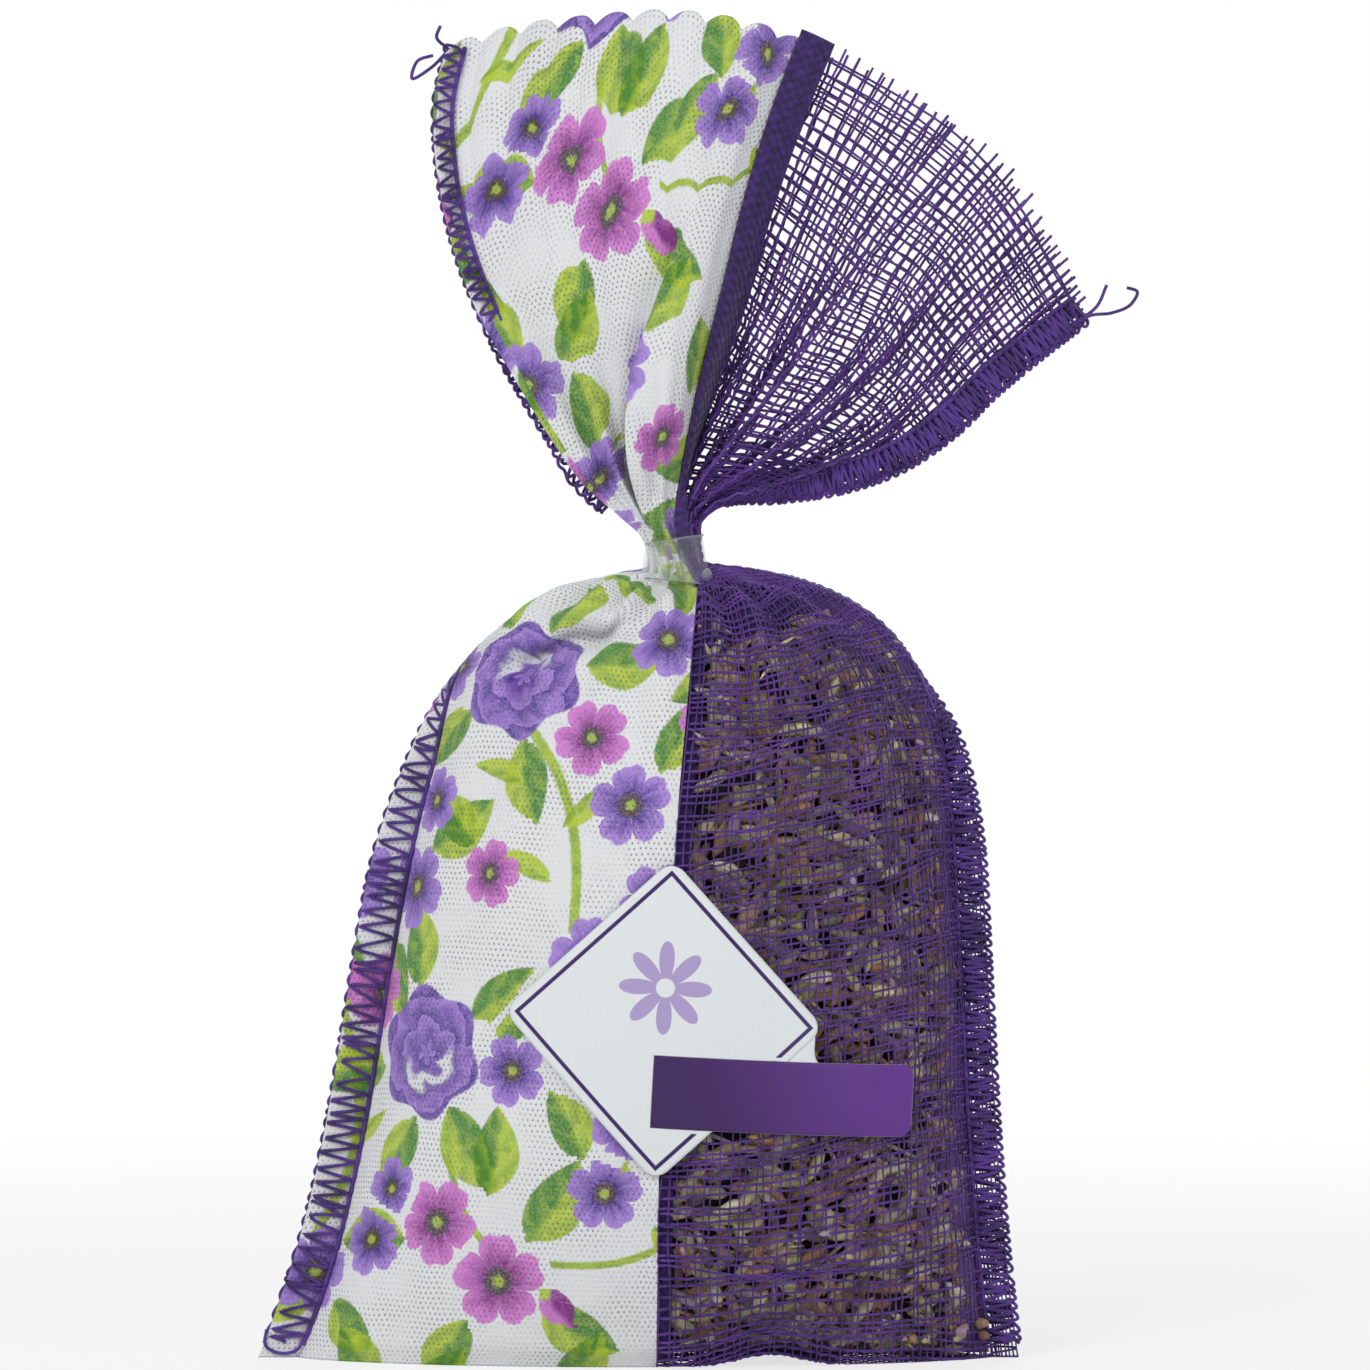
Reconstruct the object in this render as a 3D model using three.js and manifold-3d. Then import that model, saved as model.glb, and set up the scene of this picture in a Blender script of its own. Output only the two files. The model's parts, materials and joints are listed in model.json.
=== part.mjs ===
// Lavender sachet: a bag of dried lavender, half printed cotton and half open gauze. A clear band
// closes its neck, and the cloth above the band spreads as a flat ruffle.
// Millimetres, +Z up, front towards -Y. The origin lies on the floor, under the middle of the base.

import * as THREE from "three";
import { mergeVertices } from "three/addons/utils/BufferGeometryUtils.js";
import Module from "manifold-3d";

const wasm = await Module();
wasm.setup();

// Gaps and thicknesses
const FIT = 0.3; // between pieces that touch
const CLOTH = 0.8; // one layer of cotton or gauze
const THREAD = 0.6; // overlock thread laid over a seam allowance
const SEAM_TAPE = 0.6; // turned-in allowance of the middle seam
const SEAM_WIDTH = 2.6;
const LABEL_PAPER = 0.4;

// Bag
const BAG_HEIGHT = 80.6; // floor to the rim of its mouth
const BASE_LEFT = 36.3; // middle of the base to the left side seam, at the floor
const BASE_RIGHT = 37;
const LEFT_SHOULDER = 24.8; // where the side starts to turn in towards the neck
const LEFT_SHOULDER_HEIGHT = 58;
const RIGHT_SHOULDER = 33.4;
const RIGHT_SHOULDER_HEIGHT = 54;
const BASE_DEPTH = 20; // front to back
const BELLY_DEPTH = 33;
const BELLY_HEIGHT = 27;
const LEFT_ALLOWANCE = 4.2; // seam allowance standing out beyond the side seam
const RIGHT_ALLOWANCE = 3.1;
const STITCH = 2; // along the edge, from one overlock stitch to the next
const STITCH_BITE = 0.5; // how far each stitch bulges
const CENTRE_SEAM_BASE = 1.7; // sideways place of the middle seam, at the floor
const CENTRE_SEAM_TOP = 6;

// Neck and band
const NECK_X = 3.6;
const NECK_PIVOT_DROP = 3.2; // rim of the mouth down to the middle of the gather's ball
const NECK_SWELL = 1.2; // how much wider the gather's ball is than its stalk
const NECK_SWAY = 12; // degrees to either side
const BAND_LIFT = 1.5; // rim of the mouth up to the band
const BAND_HEIGHT = 4.6;
const BAND_BOTTOM = 3.5; // inner radius
const BAND_TOP = 2.8;
const BAND_WALL = 0.5;
const BAND_TAB = 1.6; // welded tab, outwards
const BAND_TAB_THICKNESS = 1;

// Ruffle: a fan of cloth about the middle of its gather. Angles turn up from +X, in degrees.
const RUFFLE_BALL = 2.9; // radius of the gather above the band
const LEFT_LENGTH = 54; // from the middle of the gather to the end of each edge
const CENTRE_LENGTH = 51.3;
const RIGHT_LENGTH = 48.3;
const LEFT_EDGE = { root: 172, top: 117, bend: 0.72, length: LEFT_LENGTH };
const CENTRE_EDGE = { root: 80, top: 75, bend: 1, length: CENTRE_LENGTH };
const RIGHT_EDGE = { root: 3, top: 25, bend: 1.8, length: RIGHT_LENGTH };
const RUFFLE_HEM = 2.4; // width of the overlocked edge
const RUFFLE_OPENING = 2; // each layer's largest distance from the middle
const COTTON_FOLD = 3; // depth of a fold
const COTTON_FOLDS = 2;
const GAUZE_FOLD = 2.6;
const GAUZE_FOLDS = 3;

// Label: a diamond, with a banner across its lower right corner
const LABEL_X = 2.5;
const LABEL_Z = 36.6;
const LABEL_TURN = -3.2; // degrees
const DIAMOND_SIDE = 23.6;
const DIAMOND_ROUND = 1.8;
const BANNER_LENGTH = 27.2;
const BANNER_HEIGHT = 7.5;
const BANNER_ROUND = 1.2;
const BANNER_X = 12.8; // from the middle of the diamond
const BANNER_Z = -7.3;

// Fineness of the faces
const RING_STEPS = 14; // across the front of the bag
const RING_LEVELS = 16;
const FAN_STEPS = 10;
const FAN_RINGS = 12;
const EDGE_STEP = STITCH / 2;
const TURNED_STEPS = 20; // round a turned piece
const SEAM_STEPS = 12; // along the middle seam

const smooth = (from, to, value) => THREE.MathUtils.smoothstep(value, from, to);
const radians = THREE.MathUtils.degToRad;

// Closed solids and their cuts

function solidOf(geometry) {
  const bare = geometry.clone();
  bare.deleteAttribute("normal");
  bare.deleteAttribute("uv");
  const merged = mergeVertices(bare, 1e-5);
  const mesh = new wasm.Mesh({
    numProp: 3,
    vertProperties: new Float32Array(merged.attributes.position.array),
    triVerts: new Uint32Array(merged.index.array),
  });
  return new wasm.Manifold(mesh);
}

function geometryOf(solid) {
  const mesh = solid.getMesh();
  const geometry = new THREE.BufferGeometry();
  geometry.setAttribute("position", new THREE.BufferAttribute(mesh.vertProperties, 3));
  geometry.setIndex(new THREE.BufferAttribute(mesh.triVerts, 1));
  return geometry;
}

// Skin over rings of equally many points. The rings turn anticlockwise when seen from the last
// ring's side.
function skinFaces(count, rings) {
  const index = [];
  for (let ring = 0; ring < (rings - 1) * count; ring += count) {
    for (let i = 0; i < count; i += 1) {
      const next = (i + 1) % count;
      index.push(ring + i, ring + next, ring + count + next);
      index.push(ring + i, ring + count + next, ring + count + i);
    }
  }
  return index;
}

// The flat ends that close such a skin, from the outline of its first ring
function endFaces(outline, rings) {
  const last = (rings - 1) * outline.length;
  const reversed = THREE.ShapeUtils.isClockWise(outline);
  return THREE.ShapeUtils.triangulateShape(outline, []).flatMap((face) => {
    const [a, b, c] = reversed ? face.reverse() : face;
    return [c, b, a, last + a, last + b, last + c];
  });
}

function pointsGeometry(points, index) {
  const geometry = new THREE.BufferGeometry();
  const positions = points.flatMap((point) => point.toArray());
  geometry.setAttribute("position", new THREE.Float32BufferAttribute(positions, 3));
  geometry.setIndex(index);
  return geometry;
}

function loft(rings, outline) {
  const skin = skinFaces(outline.length, rings.length);
  return pointsGeometry(rings.flat(), [...skin, ...endFaces(outline, rings.length)]);
}

// Upright outline in X and Z, carried from front to back
function prism(outline, front, back) {
  const shape = Array.isArray(outline) ? new THREE.Shape(outline) : outline;
  const geometry = new THREE.ExtrudeGeometry(shape, {
    depth: back - front,
    bevelEnabled: false,
    curveSegments: 5,
  });
  geometry.rotateX(Math.PI / 2);
  geometry.translate(0, back, 0);
  return geometry;
}

function roundedRectangle(length, height, radius) {
  const x = length / 2 - radius;
  const y = height / 2 - radius;
  const shape = new THREE.Shape();
  shape.absarc(x, y, radius, 0, Math.PI / 2);
  shape.absarc(-x, y, radius, Math.PI / 2, Math.PI);
  shape.absarc(-x, -y, radius, Math.PI, 1.5 * Math.PI);
  shape.absarc(x, -y, radius, 1.5 * Math.PI, 2 * Math.PI);
  return shape;
}

// Bag outline: two curves a side, from the floor to the shoulder and on to the mouth

const STALK = BAND_BOTTOM - FIT;
const NECK_BALL = STALK + NECK_SWELL;
const MOUTH = STALK + NECK_PIVOT_DROP * Math.sin(radians(NECK_SWAY)) + 2 * FIT;
const RIM = MOUTH + CLOTH;

// Handles of the two curves, as shares of each curve's own width and rise
const FLARE_OUT = [0.6, 0.29];
const FLARE_END = [0.9, 0.68];
const TURN_IN = [0.04, 0.47];
const DRAW_IN = [0.42, 0.96];

function bend(start, handles, end) {
  const span = end.clone().sub(start);
  const [first, second] = handles.map(([across, up]) => (
    new THREE.Vector2(across, up).multiply(span).add(start)
  ));
  return new THREE.CubicBezierCurve(start, first, second, end);
}

function side(base, shoulder, shoulderHeight, rim) {
  const floor = new THREE.Vector2(base, 0);
  const turn = new THREE.Vector2(shoulder, shoulderHeight);
  const top = new THREE.Vector2(rim, BAG_HEIGHT);
  const curve = new THREE.CurvePath();
  curve.add(bend(floor, [FLARE_OUT, FLARE_END], turn));
  curve.add(bend(turn, [TURN_IN, DRAW_IN], top));
  return curve;
}

const leftSide = side(-BASE_LEFT, -LEFT_SHOULDER, LEFT_SHOULDER_HEIGHT, NECK_X - RIM);
const rightSide = side(BASE_RIGHT, RIGHT_SHOULDER, RIGHT_SHOULDER_HEIGHT, NECK_X + RIM);
const depthSide = side(BASE_DEPTH / 2, BELLY_DEPTH / 2, BELLY_HEIGHT, RIM);

// Sideways place on a curve at a given height
function reader(curve) {
  const points = curve.curves.flatMap((part) => part.getPoints(40));
  return (height) => {
    const after = points.findIndex((point) => point.y >= height);
    if (after < 1) {
      return after === 0 ? points[0].x : points[points.length - 1].x;
    }
    const low = points[after - 1];
    const high = points[after];
    const share = (height - low.y) / (high.y - low.y || 1);
    return THREE.MathUtils.lerp(low.x, high.x, share);
  };
}

const leftAt = reader(leftSide);
const rightAt = reader(rightSide);
const depthAt = reader(depthSide);

function centreSeamAt(height) {
  const share = height / BAG_HEIGHT;
  return CENTRE_SEAM_BASE + (CENTRE_SEAM_TOP - CENTRE_SEAM_BASE) * share ** 2;
}

// The filled bag at one height: two bulged layers that meet at the side seams. The depth follows
// (1 - across^BULGE_BREADTH)^BULGE_ROUND from the middle to a side seam.
const BULGE_BREADTH = 2.2;
const BULGE_ROUND = 0.7;

function bagRing(height) {
  const middle = (leftAt(height) + rightAt(height)) / 2;
  const reach = (rightAt(height) - leftAt(height)) / 2;
  const layer = (sign, steps) => steps.map((step) => {
    const across = -Math.cos((Math.PI * step) / RING_STEPS);
    const bulge = (1 - Math.abs(across) ** BULGE_BREADTH) ** BULGE_ROUND;
    return new THREE.Vector3(middle + reach * across, sign * depthAt(height) * bulge, height);
  });
  const steps = [...Array(RING_STEPS).keys()];
  return [...layer(-1, steps), ...layer(1, steps.map((step) => RING_STEPS - step))];
}

// Heights lie closer together at the base, and closer still where the shoulder turns in
const CLOSE_AT_BASE = 0.6;
const bagRings = Array.from({ length: RING_LEVELS }, (_, level) => {
  const share = level / (RING_LEVELS - 1);
  const bothEnds = (1 - Math.cos(Math.PI * share)) / 2;
  const topOnly = Math.sin((Math.PI * share) / 2);
  return bagRing(BAG_HEIGHT * THREE.MathUtils.lerp(topOnly, bothEnds, CLOSE_AT_BASE));
});
const bagOutline = bagRings[0].map((point) => new THREE.Vector2(point.x, point.y));
const bagSkin = pointsGeometry(bagRings.flat(), skinFaces(bagOutline.length, RING_LEVELS));
bagSkin.computeVertexNormals();
const bagNormals = bagSkin.attributes.normal;

// The bag's outside, moved out by a distance, or in if it is negative, with a flat base
function bagSolid(distance) {
  const out = new THREE.Vector3();
  const rings = bagRings.map((ring, level) => ring.map((point, i) => {
    out.fromBufferAttribute(bagNormals, level * ring.length + i);
    const moved = point.clone().addScaledVector(out, distance);
    return level ? moved : moved.setZ(-distance);
  }));
  return solidOf(loft(rings, bagOutline));
}

// Edges: a path of points with their outward directions, and what is carried along it

function edgePath(pointAt, length, from, to, outwards) {
  const steps = Math.max(2, Math.round(((to - from) * length) / EDGE_STEP));
  return Array.from({ length: steps + 1 }, (_, step) => {
    const share = from + ((to - from) * step) / steps;
    const ahead = pointAt(Math.min(share + 0.01, 1));
    const behind = pointAt(Math.max(share - 0.01, 0));
    const along = ahead.sub(behind).normalize();
    const out = new THREE.Vector2(-outwards * along.y, outwards * along.x);
    return { point: pointAt(share), out, share };
  });
}

// Sections in distance from the edge and depth, one for each point of the path
function carried(path, sectionAt, outwards) {
  const sections = path.map((spot, step) => sectionAt(spot.share, step));
  const rings = path.map(({ point, out }, step) => sections[step].map(([away, depth]) => (
    new THREE.Vector3(point.x + out.x * away, depth, point.y + out.y * away)
  )));
  const outline = sections[0].map(([away, depth]) => new THREE.Vector2(away, depth));
  if (outwards > 0) {
    rings.forEach((ring) => ring.reverse());
    outline.reverse();
  }
  return loft(rings, outline);
}

// Thread wrapped round an edge: a channel whose outside bulges at each stitch
const HEM_HALF = CLOTH + FIT / 2;

function threadChannel(path, startAt, edgeAt, outwards) {
  const inner = HEM_HALF + FIT;
  const outer = inner + THREAD;
  return carried(path, (share, step) => {
    const start = startAt(share);
    const slot = edgeAt(share) + FIT;
    const outside = slot + THREAD + (step % 2) * STITCH_BITE;
    return [
      [start, -outer], [outside, -outer], [outside, outer], [start, outer],
      [start, inner], [slot, inner], [slot, -inner], [start, -inner],
    ];
  }, outwards);
}

// Side seams: the allowance stands out flat, and narrows as it turns edge-on towards the neck.
// Places along a side are shares of its length.
const NARROWING_START = 0.55;
const SEAM_END = 0.86;
const NARROWING = 0.6;
const THREAD_INSET = 0.15; // share of the allowance left bare beside the seam
const LEFT = 1;
const RIGHT = -1;

function allowanceAt(width) {
  return (share) => width * (1 - NARROWING * smooth(NARROWING_START, SEAM_END, share));
}

function sidePath(curve, outwards, start) {
  const length = curve.getLength();
  return edgePath((share) => curve.getPointAt(share), length, start / length, SEAM_END, outwards);
}

function seamAllowance(curve, width, outwards) {
  const path = sidePath(curve, outwards, 0);
  path[0].out.set(-outwards, 0);
  const edgeAt = allowanceAt(width);
  return solidOf(carried(path, (share) => [
    [-2 * CLOTH, -HEM_HALF], [edgeAt(share), -HEM_HALF],
    [edgeAt(share), HEM_HALF], [-2 * CLOTH, HEM_HALF],
  ], outwards));
}

function bagOverlock(curve, width, outwards) {
  const path = sidePath(curve, outwards, STITCH);
  const edgeAt = allowanceAt(width);
  return threadChannel(path, (share) => THREAD_INSET * edgeAt(share), edgeAt, outwards);
}

// Neck: a ball in the bag's mouth, a stalk through the band, and the band itself
const NECK_Z = BAG_HEIGHT - NECK_PIVOT_DROP;
const BAND_Z = BAG_HEIGHT + BAND_LIFT;
const GATHER_TOP = BAND_Z + BAND_HEIGHT + FIT;

function turned(profile) {
  const geometry = new THREE.LatheGeometry(profile, TURNED_STEPS);
  geometry.rotateX(Math.PI / 2);
  geometry.translate(NECK_X, 0, 0);
  return geometry;
}

function neckGather() {
  const ballSteps = 8;
  const meet = Math.asin(STALK / NECK_BALL);
  const profile = [new THREE.Vector2(0, NECK_Z - NECK_BALL)];
  for (let step = 1; step <= ballSteps; step += 1) {
    const angle = Math.PI - (step / ballSteps) * (Math.PI - meet);
    profile.push(new THREE.Vector2(
      NECK_BALL * Math.sin(angle),
      NECK_Z + NECK_BALL * Math.cos(angle),
    ));
  }
  profile.push(new THREE.Vector2(STALK, BAND_Z));
  profile.push(new THREE.Vector2(BAND_TOP - FIT, BAND_Z + BAND_HEIGHT));
  profile.push(new THREE.Vector2(BAND_TOP - FIT, GATHER_TOP));
  profile.push(new THREE.Vector2(0, GATHER_TOP));
  return turned(profile);
}

function closureBand() {
  const top = BAND_Z + BAND_HEIGHT;
  const ring = turned([
    new THREE.Vector2(BAND_BOTTOM, BAND_Z),
    new THREE.Vector2(BAND_BOTTOM + BAND_WALL, BAND_Z),
    new THREE.Vector2(BAND_TOP + BAND_WALL, top),
    new THREE.Vector2(BAND_TOP, top),
    new THREE.Vector2(BAND_BOTTOM, BAND_Z),
  ]);
  const tab = [
    new THREE.Vector2(NECK_X + BAND_BOTTOM + BAND_WALL / 3, BAND_Z),
    new THREE.Vector2(NECK_X + BAND_BOTTOM + BAND_WALL + BAND_TAB, BAND_Z),
    new THREE.Vector2(NECK_X + BAND_TOP + BAND_WALL + BAND_TAB, top),
    new THREE.Vector2(NECK_X + BAND_TOP + BAND_WALL / 3, top),
  ];
  const half = BAND_TAB_THICKNESS / 2;
  return geometryOf(solidOf(ring).add(solidOf(prism(tab, -half, half))));
}

// Ruffle: each layer is a fan of cloth with soft folds, flat along its overlocked edges
const RUFFLE_Z = GATHER_TOP + FIT + RUFFLE_BALL;
const FAN_START = RUFFLE_BALL + FIT;
const HEM_FLAT = 1.5 * RUFFLE_HEM + FIT; // along the fan, where its edge runs at a slant
const SPREAD_END = 0.4; // share of the fan's length in which its folds open out
const FRONT = -1;
const BACK = 1;

function edgeAngle(edge, share) {
  return radians(edge.root + (edge.top - edge.root) * share ** edge.bend);
}

function edgeRadius(edge, share) {
  return FAN_START + share * (edge.length - FAN_START);
}

function fanEdge(edge) {
  return (share) => {
    const angle = edgeAngle(edge, share);
    const radius = edgeRadius(edge, share);
    return new THREE.Vector2(
      NECK_X + radius * Math.cos(angle),
      RUFFLE_Z + radius * Math.sin(angle),
    );
  };
}

// A point of one cloth between its overlocked edge (across 0) and the middle seam (across 1)
function fanSpot(edge, fold, folds, across, share) {
  const radius = THREE.MathUtils.lerp(edgeRadius(edge, share), edgeRadius(CENTRE_EDGE, share), across);
  const start = edgeAngle(edge, share);
  const centre = edgeAngle(CENTRE_EDGE, share);
  const turn = Math.sign(start - centre);
  const end = centre + (turn * FIT) / 2 / radius;
  const angle = THREE.MathUtils.lerp(start, end, across);
  const fromEdge = across * Math.abs(end - start) * radius;
  const free = smooth(HEM_FLAT, HEM_FLAT + 2 * fold, fromEdge);
  const spread = smooth(0, SPREAD_END, share);
  return {
    x: NECK_X + radius * Math.cos(angle),
    z: RUFFLE_Z + radius * Math.sin(angle),
    fold: fold * free * spread * Math.sin(Math.PI * folds * across),
    opening: RUFFLE_OPENING * free * spread,
  };
}

// A patch of cloth between two heights (front and back) at each of its grid points
function patch(columns, rows, spotAt, facing) {
  const near = [];
  const far = [];
  for (let row = 0; row <= rows; row += 1) {
    for (let column = 0; column <= columns; column += 1) {
      const spot = spotAt(column / columns, row / rows);
      near.push(new THREE.Vector3(spot.x, spot.front, spot.z));
      far.push(new THREE.Vector3(spot.x, spot.back, spot.z));
    }
  }
  const width = columns + 1;
  const offset = near.length;
  const index = [];
  const quad = (a, b, c, d) => index.push(a, b, c, a, c, d);
  for (let row = 0; row < rows; row += 1) {
    for (let column = 0; column < columns; column += 1) {
      const a = row * width + column;
      quad(a, a + 1, a + width + 1, a + width);
      quad(offset + a, offset + a + width, offset + a + width + 1, offset + a + 1);
    }
    const left = row * width;
    const right = left + columns;
    quad(left, left + width, offset + left + width, offset + left);
    quad(right, offset + right, offset + right + width, right + width);
  }
  for (let column = 0; column < columns; column += 1) {
    const top = rows * width + column;
    quad(column, offset + column, offset + column + 1, column + 1);
    quad(top, top + 1, offset + top + 1, offset + top);
  }
  if (facing < 0) {
    index.reverse();
  }
  return pointsGeometry([...near, ...far], index);
}

function ruffleLayer(edge, fold, folds, layer, facing) {
  return patch(FAN_STEPS, FAN_RINGS, (across, share) => {
    const spot = fanSpot(edge, fold, folds, across, share);
    const near = spot.fold + layer * (spot.opening + FIT / 2);
    const away = near + layer * CLOTH;
    return { x: spot.x, z: spot.z, front: Math.min(near, away), back: Math.max(near, away) };
  }, facing);
}

// Allowance of the middle seam, turned in between the layers on the gauze side
const SEAM_START = 0.45;

function ruffleSeam(layer) {
  return patch(2, FAN_RINGS, (across, step) => {
    const share = THREE.MathUtils.lerp(SEAM_START, 1, step);
    const radius = edgeRadius(CENTRE_EDGE, share);
    const sweep = edgeAngle(CENTRE_EDGE, share) - edgeAngle(RIGHT_EDGE, share);
    const place = 1 - ((1 - across) * SEAM_WIDTH) / (radius * sweep);
    const spot = fanSpot(RIGHT_EDGE, GAUZE_FOLD, GAUZE_FOLDS, place, share);
    const away = spot.fold + layer * (spot.opening + FIT / 2 - FIT);
    const near = away - layer * SEAM_TAPE;
    return { x: spot.x, z: spot.z, front: Math.min(near, away), back: Math.max(near, away) };
  }, -1);
}

const HEM_START = 0.16; // share of the fan's edge below which no overlock shows

function ruffleOverlock(edge, outwards) {
  const path = edgePath(fanEdge(edge), edge.length, HEM_START, 1, outwards);
  return threadChannel(path, () => -RUFFLE_HEM, () => 0, outwards);
}

// Bag cloths: one wall, cut along the middle seam, with the side allowances added
const outside = bagSolid(0);
const inside = bagSolid(-CLOTH);
const socket = new THREE.SphereGeometry(NECK_BALL + FIT, TURNED_STEPS, 14);
socket.rotateX(Math.PI / 2);
socket.translate(NECK_X, 0, NECK_Z);
const shaft = turned([
  new THREE.Vector2(0, NECK_Z),
  new THREE.Vector2(MOUTH, NECK_Z),
  new THREE.Vector2(MOUTH, GATHER_TOP),
  new THREE.Vector2(0, GATHER_TOP),
]);
const mouth = solidOf(socket).add(solidOf(shaft));
const wall = outside
  .add(seamAllowance(leftSide, LEFT_ALLOWANCE, LEFT))
  .add(seamAllowance(rightSide, RIGHT_ALLOWANCE, RIGHT))
  .subtract(inside)
  .subtract(mouth);

const REACH = 2 * BAG_HEIGHT; // past everything, for cuts

// The middle seam's line moved sideways, from below the floor up to a height
function seamLine(shift, top) {
  const line = Array.from({ length: SEAM_STEPS + 1 }, (_, step) => {
    const height = (top * step) / SEAM_STEPS;
    return new THREE.Vector2(centreSeamAt(height) + shift, height);
  });
  return [new THREE.Vector2(line[0].x, -REACH), ...line];
}

function besideSeam(sign) {
  const line = seamLine((sign * FIT) / 2, BAG_HEIGHT);
  const above = new THREE.Vector2(line[line.length - 1].x, REACH);
  const far = [new THREE.Vector2(sign * REACH, REACH), new THREE.Vector2(sign * REACH, -REACH)];
  return solidOf(prism([...line, above, ...far], -REACH, REACH));
}

// Middle seam inside the bag: front, base and back in one strip, up to the shoulder
function seamBand(width, top) {
  const outline = [...seamLine(width / 2, top), ...seamLine(-width / 2, top).reverse()];
  return solidOf(prism(outline, -REACH, REACH));
}

const seamTop = NECK_Z - NECK_BALL - 2 * FIT;
const lining = bagSolid(-CLOTH - FIT);
const bagSeam = lining
  .subtract(bagSolid(-CLOTH - FIT - SEAM_TAPE))
  .intersect(seamBand(SEAM_WIDTH, seamTop));
const seamRoom = seamBand(SEAM_WIDTH + 2 * FIT, seamTop + FIT)
  .subtract(bagSolid(-CLOTH - 2 * FIT - SEAM_TAPE));
const fill = lining.subtract(seamRoom).subtract(mouth);

// Label: its outline, laid on the front of the bag
function paperLabel() {
  const diamond = prism(roundedRectangle(DIAMOND_SIDE, DIAMOND_SIDE, DIAMOND_ROUND), -REACH, 0);
  diamond.rotateY(Math.PI / 4);
  const banner = prism(roundedRectangle(BANNER_LENGTH, BANNER_HEIGHT, BANNER_ROUND), -REACH, 0);
  banner.translate(BANNER_X, 0, BANNER_Z);
  for (const piece of [diamond, banner]) {
    piece.rotateY(-radians(LABEL_TURN));
    piece.translate(LABEL_X, 0, LABEL_Z);
  }
  const paper = bagSolid(FIT + LABEL_PAPER).subtract(bagSolid(FIT));
  return geometryOf(paper.intersect(solidOf(diamond).add(solidOf(banner))));
}

function ruffleGather() {
  const ball = new THREE.SphereGeometry(RUFFLE_BALL, 16, 10);
  ball.rotateX(Math.PI / 2);
  ball.translate(NECK_X, 0, RUFFLE_Z);
  return ball;
}

const COTTON = { color: 0xe9eaf0, roughness: 0.9, metalness: 0 };
const GAUZE = { color: 0x4b2c86, roughness: 0.9, metalness: 0 };
const OVERLOCK = { color: 0x5a3a9a, roughness: 0.7, metalness: 0 };
const BUNCHED = { color: 0xa58fc4, roughness: 0.9, metalness: 0 };
const LAVENDER = { color: 0x5a4038, roughness: 1, metalness: 0 };
const PAPER = { color: 0xe6ecee, roughness: 0.5, metalness: 0 };
const CLEAR = { color: 0xe4ecf0, roughness: 0.1, metalness: 0, transparent: true, opacity: 0.5 };

const sachet = new THREE.Group();

function add(name, geometry, finish) {
  const mesh = new THREE.Mesh(geometry, new THREE.MeshStandardMaterial(finish));
  mesh.name = name;
  sachet.add(mesh);
}

const cotton = [LEFT_EDGE, COTTON_FOLD, COTTON_FOLDS];
const gauze = [RIGHT_EDGE, GAUZE_FOLD, GAUZE_FOLDS];
add("floral_bag_cloth", geometryOf(wall.intersect(besideSeam(-1))), COTTON);
add("gauze_bag_cloth", geometryOf(wall.intersect(besideSeam(1))), GAUZE);
add("bag_centre_seam", geometryOf(bagSeam), OVERLOCK);
add("left_bag_overlock", bagOverlock(leftSide, LEFT_ALLOWANCE, LEFT), OVERLOCK);
add("right_bag_overlock", bagOverlock(rightSide, RIGHT_ALLOWANCE, RIGHT), OVERLOCK);
add("lavender_fill", geometryOf(fill), LAVENDER);
add("paper_label", paperLabel(), PAPER);
add("neck_gather", neckGather(), BUNCHED);
add("closure_band", closureBand(), CLEAR);
add("ruffle_gather", ruffleGather(), BUNCHED);
add("floral_ruffle_front", ruffleLayer(...cotton, FRONT, 1), COTTON);
add("floral_ruffle_back", ruffleLayer(...cotton, BACK, 1), COTTON);
add("gauze_ruffle_front", ruffleLayer(...gauze, FRONT, -1), GAUZE);
add("gauze_ruffle_back", ruffleLayer(...gauze, BACK, -1), GAUZE);
add("front_ruffle_seam", ruffleSeam(FRONT), OVERLOCK);
add("back_ruffle_seam", ruffleSeam(BACK), OVERLOCK);
add("left_ruffle_overlock", ruffleOverlock(LEFT_EDGE, LEFT), OVERLOCK);
add("right_ruffle_overlock", ruffleOverlock(RIGHT_EDGE, RIGHT), OVERLOCK);

export default sachet;
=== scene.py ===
import json
import math

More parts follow.
